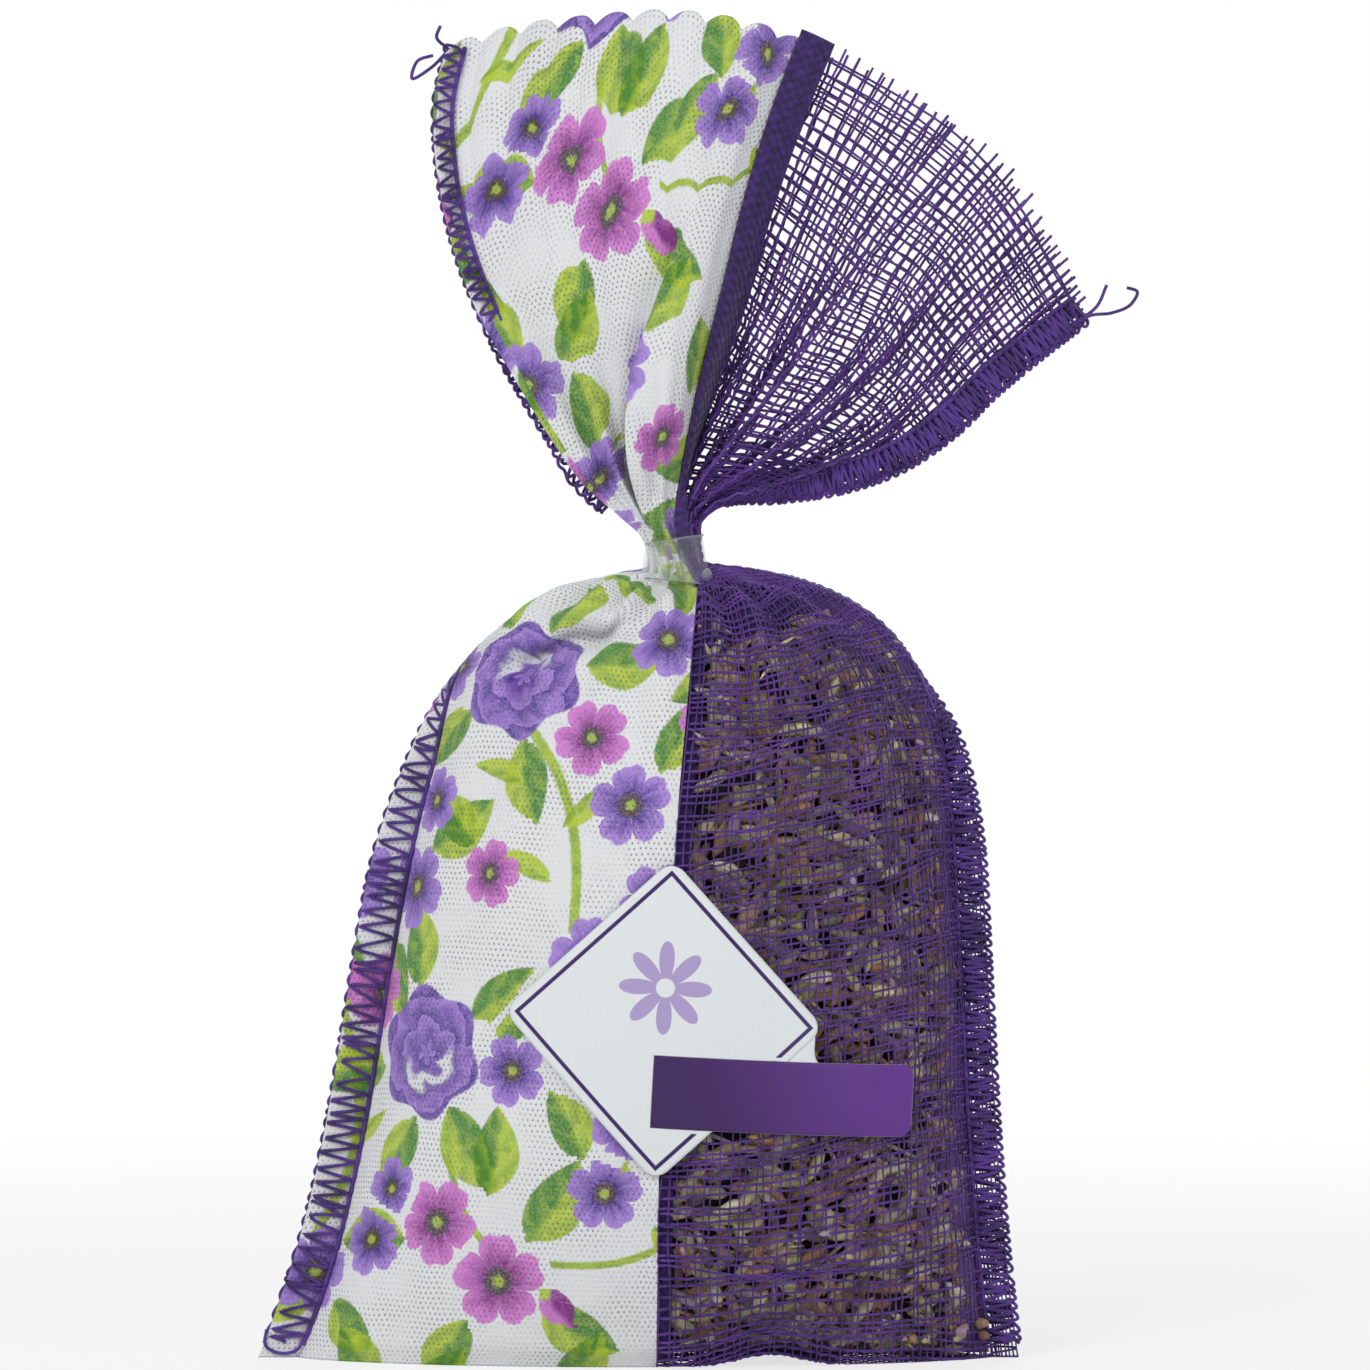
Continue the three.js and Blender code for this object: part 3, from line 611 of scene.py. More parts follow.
def polar(x, y):
    """Angle and distance of a place, seen from the middle."""
    return y.math("ARCTAN2", x), (x * x + y * y).math("SQRT")


def dyed(tint, tone):
    """Dark to light by tone, in violet or, where tinted, in pink."""
    finish = tint.finish
    return finish.mix(tint, finish.mix(tone, *VIOLETS), finish.mix(tone, *PINKS))


def vine(x, y, tint, blot, ragged):
    """A bent stem along x from 0 to 1: y is 0.12 sin(pi x)."""
    line = (y - (x * math.pi).math("SINE") * 0.12).math("ABSOLUTE")
    return 1 - (line + ragged * 0.02).between(0.016, 0.03), x.finish.mix(0.7 + blot, *GREENS)


def leaf(x, y, tint, blot, ragged):
    """A pointed leaf along x from 0 to 1: half its width is 0.27 sin(pi x^0.85)^0.85. One side of its
    vein is lighter, and strokes run out from it. A tinted leaf is narrow and light all over."""
    length = x.math("MAXIMUM", 0.001).math("MINIMUM", 0.999)
    side = y - (length * math.pi).math("SINE") * 0.06
    half = (length.math("POWER", 0.85) * math.pi).math("SINE").math("POWER", 0.85) * (0.27 - tint * 0.11)
    away = side.math("ABSOLUTE")
    stroke = (away * 26 - x * 18 + blot * 6).math("SINE")
    tone = side.between(-0.05, 0.05) * 0.7 + stroke * 0.18 + blot * 0.7 + tint * 0.5 + 0.12
    return (half - away + ragged * 0.03).between(-0.015, 0.015), x.finish.mix(tone, *GREENS)


def bud(x, y, tint, blot, ragged):
    """A closed bud along x, half as wide as 0.27 sin(pi x^0.9)^0.7, darker on one side, in a green cup."""
    length = x.math("MAXIMUM", 0.001).math("MINIMUM", 0.999)
    away = y.math("ABSOLUTE")
    half = (length.math("POWER", 0.9) * math.pi).math("SINE").math("POWER", 0.7) * 0.27
    shade = dyed(tint, y.between(-0.05, 0.12) + blot * 0.7)
    cup = 1 - (x + away.math("POWER", 1.5) * 2).between(0.22, 0.32)
    return (half - away + ragged * 0.03).between(-0.015, 0.015), x.finish.mix(cup, shade, GREENS[1])


def flower(x, y, tint, blot, ragged):
    """Five notched petals: with c = |cos 2.5 angle| the rim lies at 0.52 + 0.48 c^0.42 - 0.09 c^16. Colour
    runs from dark in the middle to light at the rim, in streaks, and is darker between the petals."""
    finish = x.finish
    angle, reach = polar(x, y)
    lobe = (angle * 2.5).math("COSINE").math("ABSOLUTE")
    rim = lobe.math("POWER", 0.42) * 0.48 - lobe.math("POWER", 16) * 0.09 + 0.52
    streaks = finish.node("CombineXYZ", {}, {0: angle * 5, 1: reach * 1.5, 2: tint * 7})
    tone = reach / rim * 1.9 - 0.65 + (finish.noise(streaks, 1) - 0.5) * 1.1 + blot * 0.6
    shade = dyed(tint, tone)
    gap = (1 - lobe.between(0, 0.35)) * reach.between(0.3, 0.5) * 0.4
    shade = finish.mix(gap, shade, finish.mix(tint, VIOLETS[0], PINKS[0]))
    core = reach + ragged * 0.16
    shade = finish.mix(1 - core.between(0.25, 0.34), shade, HEART)
    shade = finish.mix(1 - core.between(0.08, 0.16), shade, HEART_DOT)
    return (rim - reach + ragged * 0.06).between(-0.03, 0.03), shade


def rose(x, y, tint, blot, ragged):
    """A full flower of nested petals: rings at whole values of 2.9 reach - 0.42 |cos(2.5 angle +
    4.2 reach)|, each from dark inside to light outside, with part of one ring left white."""
    finish = x.finish
    angle, reach = polar(x, y)
    rim = (angle * 6).math("COSINE") * 0.08 + 0.9
    petal = (angle * 2.5 + reach * 4.2).math("COSINE").math("ABSOLUTE")
    ring = reach * 2.9 - petal * 0.42 + blot * 0.5 + 0.9
    tone = ring.math("FRACT") * 0.85 + 0.05 + blot * 0.6
    shade = dyed(tint, tone)
    bare = ring.between(1.5, 1.75) * (1 - ring.between(2.0, 2.3))
    bare = bare * (angle + 0.6).math("SINE").between(-0.1, 0.5)
    shade = finish.mix(bare * 0.9, shade, COTTON_WHITE)
    return (rim - reach + ragged * 0.05).between(-0.02, 0.02), shade


MOTIFS = {"vine": vine, "leaf": leaf, "top_leaf": leaf, "bud": bud, "flower": flower, "rose": rose}


def cotton_finish():
    """Printed plain weave: thread ridges with painted shade between them, and small holes between the
    threads in patches, staggered from row to row, painted dark as the shade seen through them. Each kind
    of motif is laid over those before it."""
    cotton = new_finish("printed_cotton")
    flat = cotton.node("UVMap", {"uv_map": "flat"})
    u, v, _ = cotton.split(flat)
    wander = cotton.noise(flat, 0.5) * 0.45
    blot = (cotton.noise(flat, 0.7, 3) - 0.5) * 1.5
    taken = 0.62 + cotton.noise(flat, 3.6) * 0.62
    ragged = cotton.noise(flat, 2.6) - 0.5
    dye = COTTON_WHITE
    for kind, motif in MOTIFS.items():
        x, y, tint = cotton.split(cotton.node("Attribute", {"attribute_name": kind}, out=1))
        cover, shade = motif(x, y, tint - 1, blot, ragged)
        drawn = tint.math("GREATER_THAN", 0.99)
        if kind not in ROUND_MOTIFS:
            drawn = drawn * (x * (1 - x)).math("GREATER_THAN", 0)
        dye = cotton.mix(cover * drawn * taken, dye, shade)
    row = (v - wander) / WEAVE
    shift = row.math("FLOOR").math("MODULO", 2) * 0.5
    warp = (((u + wander) / WEAVE + shift) * math.pi).math("SINE").math("ABSOLUTE")
    weft = (row * math.pi).math("SINE").math("ABSOLUTE")
    gap = warp * weft.math("POWER", 0.6)
    patch = cotton.noise(flat, 0.14).between(0.36, 0.6)
    uneven = cotton.noise(flat, 1.7)
    hole = (gap + uneven * 0.2).between(0.84, 1.06) * (0.15 + patch * 0.85)
    # painted shade between the threads, and darker painted shade in the holes
    shade = cotton.mix((gap * 0.28 + uneven * 0.16).between(0, 1.2), dye, PAINTED_THREAD_SHADE)
    shade = cotton.mix(gap.between(0.2, 1) * 0.18, dye, shade)
    colour = cotton.mix(hole * 0.72, shade, PAINTED_HOLE_SHADE)
    # painted shade: the colour is darkened deep in folds and creases, by the fold attribute
    fold = cotton.node("Attribute", {"attribute_name": "fold"}, out=2)
    colour = cotton.mix(fold.between(0, 1), colour, PAINTED_FOLD_SHADE)
    ridges = 1 - gap * 0.8 + uneven * 0.25
    return cotton.wear(Base_Color=colour, Roughness=0.86, Specular_IOR_Level=0.25, Sheen_Weight=0.12,
                       Normal=cotton.bump(ridges, 0.12, 0.7))


def stand_in(piece, node, slot, lower, upper=None, start=0, end=0):
    """The piece stands for a node, which is hidden. It rides on one body, or, given a second body and two
    heights, is left on no body with its transform baked."""
    if upper:
        start * MM
        end * MM
        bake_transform(piece)
    else:
        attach(piece, lower)
    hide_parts(node)


cotton = cotton_finish()
SWAY = "bag", "neck", BAG_HEIGHT - 0.6, BAND_LOW + 0.8  # bag and neck bodies and two heights at the neck; stand_in leaves pieces given these on no body


def build_printed_bag():
    rows = round(level_path()[1][-1] / CLOTH_STEP)
    # fold is the mask of painted shade under the shoulder tuck
    grid, _, across, up, fold = half_bag(LEFT, rows, 106, 12)
    piece = make_piece(
        "printed_bag", grid, [grid_faces(*grid.shape[:2])], cotton,
        flat=np.stack([across, up], -1), fold=0.5 * fold[..., None], **motif_frames(across, up),
    )
    stand_in(piece, "floral_bag_cloth", "cotton", *SWAY)


build_printed_bag()


# Dried lavender: loose buds and bits of stalk that fill the bag, packed against the gauze. Only the
# outer buds are modelled, on a core painted dark as shade for the buds deeper in.
SEEDS = [
    # how many a side, ranges of length, width and depth under the gauze, rings, sides, and taper
    (760, (3.2, 5.2), (1.2, 1.9), (0.9, 1.6), 5, 6, 0.35),
    (760, (3.2, 5), (1.2, 2), (1.6, 3), 4, 5, 0.35),
    (110, (4, 8), (0.4, 0.75), (1, 1.5), 4, 4, 0.1),
]
BASE_SINK = 1.5  # how much deeper the lowest ones lie
BUD_COLOURS = [paint(code) for code in (
    "C6A68C", "B89474", "A08298", "D6CE9C", "E6D8A6", "F6EFCE", "C29466", "B098A8", "CAC298", "8A6A5C")]
DUST = paint("4A3436")
CORE_PAINTED_SHADE, CORE_MAUVE = paint("2A1C1E"), paint("8464A6")  # painted shade behind the buds, and the colour where only gauze lies
CORE_DEPTH = 3
CORE_TOP = 83.2


def at(chart, u, v):
    """A grid's value between its points, where u and v run from 0 to 1 along columns and rows."""
    rows, columns = chart.shape[:2]
    x, y = np.clip(u, 0, 1) * (columns - 1), np.clip(v, 0, 1) * (rows - 1)
    i, j = np.minimum(x.astype(int), columns - 2), np.minimum(y.astype(int), rows - 2)
    x, y = (x - i)[..., None], (y - j)[..., None]
    low = chart[j, i] * (1 - x) + chart[j, i + 1] * x
    high = chart[j + 1, i] * (1 - x) + chart[j + 1, i + 1] * x
    return low * (1 - y) + high * y


gauze_rows = 340
gauze_columns, gauze_edge_columns = 111, 10
gauze_chart, gauze_normals, gauze_across, gauze_up, _ = half_bag(
    RIGHT, gauze_rows, gauze_columns, gauze_edge_columns)
gauze_face_share = (gauze_columns - 1) / (gauze_columns + gauze_edge_columns - 1)


def row_share(share):
    """A share of the gauze's length, taken half-way round it, as a share of its chart's rows."""
    length = along(gauze_chart[:, gauze_columns // 2])
    return np.interp(share * length[-1], length, np.linspace(0, 1, len(length)))


def ring_faces(rings, sides, start=0):
    """Numbers of a tube's points, ring by ring, those of the next point round, and the quads between."""
    i = start + np.arange(rings * sides).reshape(rings, sides)
    turn = np.roll(i, -1, axis=1)
    return i, turn, np.stack([i[:-1], turn[:-1], turn[1:], i[1:]], -1).reshape(-1, 4)


def spindles(middles, axes, lengths, widths, rings, sides, taper):
    """Seeds about their axes: the radius at share t is half the width times (sin pi t)^0.6, thinned
    towards one end by taper. Each is a closed tube with a point at both ends."""
    count = len(middles)
    t = np.linspace(0, 1, rings + 2)
    radius = np.maximum(np.sin(math.pi * t), 0) ** 0.6 * (1 - taper * t)
    side = unit(np.cross(axes, np.array([0.31, 0.77, 0.55])))
    up = np.cross(side, axes)
    angle = np.linspace(0, 2 * math.pi, sides, endpoint=False)
    circle = np.cos(angle)[:, None] * side[:, None] + np.sin(angle)[:, None] * up[:, None]
    line = middles[:, None] + axes[:, None] * ((t - 0.5) * lengths[:, None])[..., None]
    wide = radius[1:-1] * widths[:, None] / 2
    ring = line[:, 1:-1, None] + wide[..., None, None] * circle[:, None]
    points = np.concatenate([line[:, :1], ring.reshape(count, -1, 3), line[:, -1:]], 1)
    i, turn, walls = ring_faces(rings, sides, 1)
    last = rings * sides + 1
    tips = np.vstack([np.stack([0 * i[0], turn[0], i[0]], -1),
                      np.stack([0 * i[0] + last, i[-1], turn[-1]], -1)])
    start = (np.arange(count) * (last + 1))[:, None, None]
    return points, [(walls + start).reshape(-1, 4), (tips + start).reshape(-1, 3)]


def lavender_finish():
    """Dry plant matter: each bud's own colour, with ribs and dust."""
    dry = new_finish("dried_lavender")
    place = dry.node("TexCoord", out=3)
    dust = dry.noise(place, 900, 3)
    tint = dry.node("Attribute", {"attribute_name": "tint"})
    colour = dry.mix(dust.between(0.45, 0.8) * 0.4, tint, DUST)
    return dry.wear(Base_Color=colour, Roughness=0.8, Normal=dry.bump(dry.noise(place, 2600), 0.3))


def build_lavender():
    draw = np.random.default_rng(21)
    below = np.flatnonzero(gauze_chart[:, 0, 2] < CORE_TOP)[::2]
    outer, out = gauze_chart[below, :gauze_columns:2], gauze_normals[below, :gauze_columns:2]
    room = np.minimum(np.abs(outer[..., 1:2]), np.hypot(outer[..., :1] - NECK_X, outer[..., 1:2]) * 0.6)
    inner = outer - out * np.minimum(CORE_DEPTH, 0.75 * room)
    inner[..., 0] = np.maximum(inner[..., 0], outer[:, :1, 0] + 0.4)
    inner[..., 2] = np.maximum(inner[..., 2], 0.6)
    rows, columns = inner.shape[:2]
    points, faces = [inner.reshape(-1, 3)], [grid_faces(rows, columns, flip=True)]
    # the core's colour: painted shade behind the buds, turning mauve where only gauze lies
    edge = smooth(0.82, 0.95, np.linspace(0, 1, columns))
    bare = np.maximum(edge, smooth(74, 80, outer[..., 2]))[..., None]
    tints = [(np.array(CORE_PAINTED_SHADE) * (1 - bare) + np.array(CORE_MAUVE) * bare).reshape(-1, 4)]
    for count, length, width, depth, rings, sides, taper in SEEDS:
        amount = 2 * count
        u = draw.uniform(0.05, 0.96, amount) * gauze_face_share
        v = 0.065 + 0.415 * draw.uniform(0, 1, amount) ** 0.9
        v[count:] = 1 - v[count:]
        v = row_share(v)
        normal = unit(at(gauze_normals, u, v))
        cover = at(gauze_chart, u, v)
        sunk = draw.uniform(*depth, amount) + BASE_SINK * smooth(8, 0, cover[:, 2])
        middle = cover - normal * sunk[:, None]
        flat = unit(np.cross(normal, np.array([0, 0, 1.0])))
        turn = draw.normal(0, 0.75, amount)[:, None]
        rise = np.cross(flat, normal)
        tilt = draw.normal(0, 0.2, amount)[:, None]
        axis = unit(flat * np.cos(turn) + rise * np.sin(turn) + normal * tilt)
        shape = middle, axis, draw.uniform(*length, amount), draw.uniform(*width, amount)
        seeds, seed_faces = spindles(*shape, rings, sides, taper)
        start = sum(len(group) for group in points)
        points.append(seeds.reshape(-1, 3))
        faces += [group + start for group in seed_faces]
        shade = np.array(BUD_COLOURS)[draw.integers(len(BUD_COLOURS), size=amount)]
        shade[:, :3] *= draw.uniform(0.5, 1.25, amount)[:, None]
        tints.append(np.repeat(shade, seeds.shape[1], axis=0))
    points = np.concatenate(points)
    points[:, 0] = np.maximum(points[:, 0], np.interp(points[:, 2], *np.array(SEAM_LINE).T) + 0.3)
    points[:, 2] = np.maximum(points[:, 2], 0.35)
    piece = make_piece("lavender_buds", points, faces, lavender_finish(), tint=np.concatenate(tints))
    stand_in(piece, "lavender_fill", "lavender", *SWAY)


build_lavender()


# Gauze half of the bag: purple threads in an open plain weave, with the lavender showing through. The
# warp runs down the front, under the base and up the back, and the weft runs round the bulge.
WARP_THREAD, WEFT_THREAD = 0.21, 0.31  # diameters
BAG_WARPS, BAG_WEFTS = 51, 232
EDGE_WARPS = 8  # of the warps, on the seam allowance
WEFT_RISE = 5  # how far the weft is pulled up towards the side seam, half-way up
WARP_WANDER = 0.0095  # aside, as a share of the cloth's width
WEFT_WAVER, WEFT_DRIFT = 0.45, 1.1  # from one warp to the next and over several, in wefts
OVER_UNDER = 0.45  # how far a thread swings over and under the others, in diameters


def tubes(paths, normals, radius, sides):
    """Threads along rows of points: a ring of points round each, on the normal and on its cross with
    the thread's direction, and a flat cap on both ends. Also gives each point's flat place."""
    count, steps = paths.shape[:2]
    forward = unit(np.gradient(paths, axis=1))
    side = unit(np.cross(forward, normals))
    up = np.cross(side, forward)
    angle = 2 * math.pi * (np.arange(sides) + 0.5) / sides
    ring = np.cos(angle)[:, None] * up[:, :, None] + np.sin(angle)[:, None] * side[:, :, None]
    points = paths[:, :, None] + radius * ring
    i, _, walls = ring_faces(steps, sides)
    caps = np.stack([i[0, ::-1], i[-1]])
    start = (np.arange(count) * steps * sides)[:, None, None]
    flat = np.stack(np.broadcast_arrays(angle, along(paths, 1)[..., None]), -1)
    faces = [(walls + start).reshape(-1, 4), (caps + start).reshape(-1, sides)]
    return points.reshape(-1, 3), faces, flat.reshape(-1, 2)


def gather(groups):
    """Several sets of points, faces and flat places as one."""
    points, faces, flat = [], [], []
    start = 0
    for more_points, more_faces, more_flat in groups:
        points.append(more_points)
        faces += [group + start for group in more_faces]
        flat.append(more_flat)
        start += len(more_points)
    return np.concatenate(points), faces, np.concatenate(flat)


def woven(chart, normals, u, v, warp_thread, weft_thread, ends=None):
    """An open plain weave on a chart: u and v give where warp i crosses weft j, and each thread passes
    over and under by turns. The warp can go on to ends, past the last weft."""
    points, out = at(chart, u, v), unit(at(normals, u, v))
    over = (-1.0) ** sum(np.indices(u.shape))
    wave = out * (OVER_UNDER * (warp_thread + weft_thread) / 2 * over)[..., None]
    lines, facing = points + wave, out
    if ends is not None:
        lines = np.concatenate([lines, at(chart, u[:, -1:], ends)], 1)
        facing = np.concatenate([out, out[:, -1:]], 1)
    warps = tubes(lines, facing, warp_thread / 2, 4)
    wefts = tubes(np.swapaxes(points - wave, 0, 1), np.swapaxes(out, 0, 1), weft_thread / 2, 4)
    return gather([warps, wefts])


def thread_finish(name, dark, light, roughness):
    """Twisted yarn: fine slanted ridges round the thread, and a colour that drifts along it."""
    yarn = new_finish(name)
    around, length, _ = yarn.split(yarn.node("UVMap", {"uv_map": "flat"}))
    twist = (around * 2 + length * 14).math("SINE") * 0.5 + 0.5
    place = yarn.node("TexCoord", out=3)
    drift = yarn.noise(place, 260, 3) * 0.7 + yarn.noise(place, 1700) * 0.3
    colour = yarn.mix(drift.between(0.34, 0.66), paint(dark), paint(light))
    return yarn.wear(Base_Color=colour, Roughness=roughness, Sheen_Weight=0.12,
                     Normal=yarn.bump(twist, 0.05, 0.8))


gauze = thread_finish("purple_gauze", "402070", "6A3C9E", 0.75)


def build_gauze_bag():
    warp, weft = np.indices((BAG_WARPS, BAG_WEFTS))
    even = np.concatenate([np.linspace(0.004, gauze_face_share, BAG_WARPS - EDGE_WARPS, endpoint=False),
                           np.linspace(gauze_face_share + 0.002, 0.996, EDGE_WARPS)])
    u = even[warp] + WARP_WANDER * lumps(warp * 1.7, weft / 9, 31) * smooth(1, 0.9, even[warp])
    waver = WEFT_WAVER * lumps(warp / 9, weft * 1.7, 32) + WEFT_DRIFT * lumps(warp / 14, weft / 3.5, 33)
    v = (weft + 0.5 + waver) / BAG_WEFTS
    length = along(gauze_chart[:, 0])[-1]
    sag = WEFT_RISE * smooth(0, 0.9, u) * np.sin(math.pi * np.abs(2 * v - 1)) / length
    v = row_share(v - sag * np.sign(0.5 - v))
    points, faces, flat = woven(gauze_chart, gauze_normals, u, v, WARP_THREAD, WEFT_THREAD)
    points[:, 2] = np.maximum(points[:, 2], 0.02)
    piece = make_piece("gauze_bag", points, faces, gauze, flat=flat)
    stand_in(piece, "gauze_bag_cloth", "gauze", *SWAY)


build_gauze_bag()


# Middle seam of the bag: the allowance of both cloths, turned to the gauze side and sewn flat. It
# shows through the gauze as a dark band, darkened in its finish by painted shade, and spreads into the
# folded gathers below the neck.
SEAM_ALLOWANCE = 1.5
SEAM_BEHIND = 0.45  # behind the gauze
GATHERS = 73.5, 79.5  # heights between which the folded gauze widens towards the neck
CHECK = 0.55  # from thread to thread


def folded_gauze_finish():
    """Gauze folded over itself, so close that its threads show only as a fine check. Its purple is the
    gauze's yarn darkened by painted shade between the folded layers.
    """
    folded = new_finish("folded_gauze")
    flat = folded.node("UVMap", {"uv_map": "flat"})
    u, v, _ = folded.split(flat)
    check = (u * (math.pi / CHECK)).math("SINE") * (v * (math.pi / CHECK)).math("SINE")
    uneven = folded.noise(flat, 1.1, 3)
    tone = (check * 0.16 + uneven).between(0.2, 0.9)
    # painted shade: darker than the gauze's own yarn, for the shade between the folded layers
    colour = folded.mix(tone, paint("1E0F3E"), paint("4A2880"))
    return folded.wear(Base_Color=colour, Roughness=0.85, Sheen_Weight=0.2, Normal=folded.bump(tone, 0.25))


folded_gauze = folded_gauze_finish()


def build_bag_seam():
    columns = 25
    even = np.linspace(0, 1, columns)
    gathers = even * 0.5 * smooth(*GATHERS, gauze_chart[:, :1, 2])
    share = np.maximum(np.minimum(even * SEAM_ALLOWANCE / gauze_across[:, -1:], 0.5), gathers)
    v = np.linspace(0.02, 0.98, 420)[:, None] + 0 * even
    u = at(share[..., None], even + 0 * v, v)[..., 0]
    grid = at(gauze_chart, u, v) - SEAM_BEHIND * unit(at(gauze_normals, u, v))
    grid[..., 2] = np.maximum(grid[..., 2], 0.3)
    flat = at(np.stack([gauze_across, gauze_up], -1), u, v)
    piece = make_piece("bag_seam_allowance", grid, [grid_faces(*grid.shape[:2], flip=True)],
                       folded_gauze, flat=flat)
    stand_in(piece, "bag_centre_seam", "thread", *SWAY)


build_bag_seam()


# Overlocked side seams: a needle line along the seam, looper threads that zigzag over the allowance on
# both faces, and a cord of loops where they interlock round its edge.
NEEDLE_THREAD = 0.5
LOOPER_THREAD = 0.36
STITCH_SAMPLES = 12
BAG_EDGES = {
    # hand, node, pitch of the stitches, radius of the loops, share of the side where it ends
    "left_edge_thread": (LEFT, "left_bag_overlock", 1.6, 0.16, 0.93),
    "right_edge_thread": (RIGHT, "right_bag_overlock", 1.0, 0.42, 0.94),
}
LAST_LOOP = [  # of thread, at the left foot
    (-35.6, -0.6, 2.2), (-36.3, -0.6, 0.9), (-38.2, -0.6, 0.5), (-39.7, -0.5, 1.3), (-39.6, -0.4, 3),
]

overlock_thread = thread_finish("overlock_thread", "341860", "60389E", 0.6)


def overlock(seam, out, back, width, pitch, loop, seed, packed=()):
    """Threads of an overlocked edge. The seam is a row of points with directions out to the edge and
    to the back, and the widths of the edge. The loopers' distance from the seam is a triangle wave of
    the stitch's pitch, and the cord at the edge is a helix of radius loop that turns once a stitch.
    Packed rows of turned-in cloth run along it at shares of its width."""
    length = along(seam)
    stitches = max(int(length[-1] / pitch), 2)
    place = np.linspace(0, length[-1], stitches * STITCH_SAMPLES + 1)
    drift = 0.45 * pitch * lumps(place / pitch * 0.6, 0 * place, seed)

    def spot(distance, depth, shift=0.0):
        where = np.clip(place + drift + shift, 0, length[-1])
        base, away, behind = [np.stack([np.interp(where, length, rows[:, i]) for i in range(3)], -1)
                              for rows in (seam, out, back)]
        wide = np.interp(where, length, width)
        close = 1 - 0.7 * away[:, 1]
        return base + unit(away) * (wide * distance)[:, None] + behind * (depth * close)[:, None]

    def looper(phase, face, shift):
        swing = np.arcsin(0.985 * np.sin(phase)) / math.pi + 0.5
        uneven = 1.02 + 0.09 * lumps(place / pitch * 1.3, 0 * place + face, seed + 1)
        lean = shift * pitch * lumps(place / pitch * 0.9, 0 * place + 5 + face, seed + 2)
        return spot(swing * uneven, face * (0.1 + 0.5 * (1 - swing ** 5)), lean * swing)

    phase = 2 * math.pi * place / pitch
    rim = loop / np.maximum(np.interp(place, length, width), 0.3)
    level = 0.03 + 0 * place
    needles = [spot(level, face * (0.5 + 0.1 * np.cos(phase))) for face in (FRONT, BACK)]
    needles += [spot(level + share, 0.2 * np.cos(phase)) for share in packed]
    loopers = [
        looper(phase, FRONT, 0.5),
        looper(phase + 2.4, BACK, 0.5),
        spot(1 + rim * np.cos(phase + 1), 0.6 * loop * np.sin(phase), 0.5 * loop * np.sin(phase)),
    ]
    facing = np.array([0.0, -1, 0.12])
    return [tubes(np.stack(paths), np.tile(facing, (len(paths), len(place), 1)), thread / 2, 6)
            for paths, thread in ((needles, NEEDLE_THREAD), (loopers, LOOPER_THREAD))]


def through(points, shares):
    """Smooth curve through points: a cubic between each two, whose slopes come from their neighbours.
    Shares run evenly along the points' chords."""
    points = np.array(points, float)
    chord = along(points) / along(points)[-1]
    slope = np.gradient(points, chord, axis=0)
    k = np.clip(np.searchsorted(chord, shares, side="right") - 1, 0, len(chord) - 2)
    gap = (chord[k + 1] - chord[k])[:, None]
    t = (shares[:, None] - chord[k][:, None]) / gap
    start = points[k] * (1 + 2 * t) * (1 - t) ** 2 + points[k + 1] * t ** 2 * (3 - 2 * t)
    return start + gap * (slope[k] * t * (1 - t) ** 2 - slope[k + 1] * t ** 2 * (1 - t))


def tail(points, steps=40):
    """A loose thread end through a few points."""
    line = through(points, np.linspace(0, 1, steps))
    facing = np.tile(np.array([0.05, -1, 0.1]), (1, steps, 1))
    return tubes(line[None], facing, LOOPER_THREAD / 2, 6)


def build_bag_overlocks():
    for name, (hand, node, pitch, loop, top) in BAG_EDGES.items():
        distance = along(side_of[hand])
        shares = np.linspace(0.012, top, 300)
        heights = np.interp(shares * distance[-1], distance, side_of[hand][:, 1])
        groups = overlock(*side_frame(hand, heights), pitch, loop, 41 + hand)
        if hand == LEFT:
            groups.append(tail(LAST_LOOP))
        points, faces, flat = gather(groups)
        points[:, 2] = np.maximum(points[:, 2], 0.05)
        piece = make_piece(name, points, faces, overlock_thread, flat=flat)
        stand_in(piece, node, "thread", *SWAY)


build_bag_overlocks()


# Paper label: a die-cut satin sticker, stuck across the middle seam. It is a white diamond with a purple
# line inside its edge, and a purple banner across its lower right side.
LABEL_MIDDLE = np.array([2.5, 36.6])  # across and height
LABEL_TURN = math.radians(-3.2)
LABEL_LIFT = 0.75  # off the bag
BANNER_RISE, WEB_DROP = 0.06, 0.006  # of the banner and of the white corner, from the diamond
LABEL_PAPER = 0.22
LABEL_WHITES = paint("E3EAEC"), paint("ECF0F2")
BANNER_PURPLES = paint("3F245C"), paint("673495")
LINE_PURPLE, ROSETTE_LILAC = paint("3B1F63"), paint("A78FCB")
PRINT_EDGE = 0.06  # softness of the printed edges
DIAMOND_SIDE = 23.6
DIAMOND_ROUND = 1.8
LINE_INSET, LINE_WIDTH = 1.05, 0.42
BANNER = np.array([27.2, 7.5])
BANNER_MIDDLE = np.array([12.8, -7.3])
BANNER_ROUND = 1.3
ROSETTE_RISE = 3.4
PETAL_ROOT, PETAL_TIP, ROSETTE_EYE = 1.4, 4.8, 1  # distances from the rosette's middle
WEB_TOP, WEB_UNDER, WEB_INSET, WEB_FLARE = 0.9, 0.6, 0.95, 0.9  # of the white corner at the banner
LABEL_STEP = 0.5


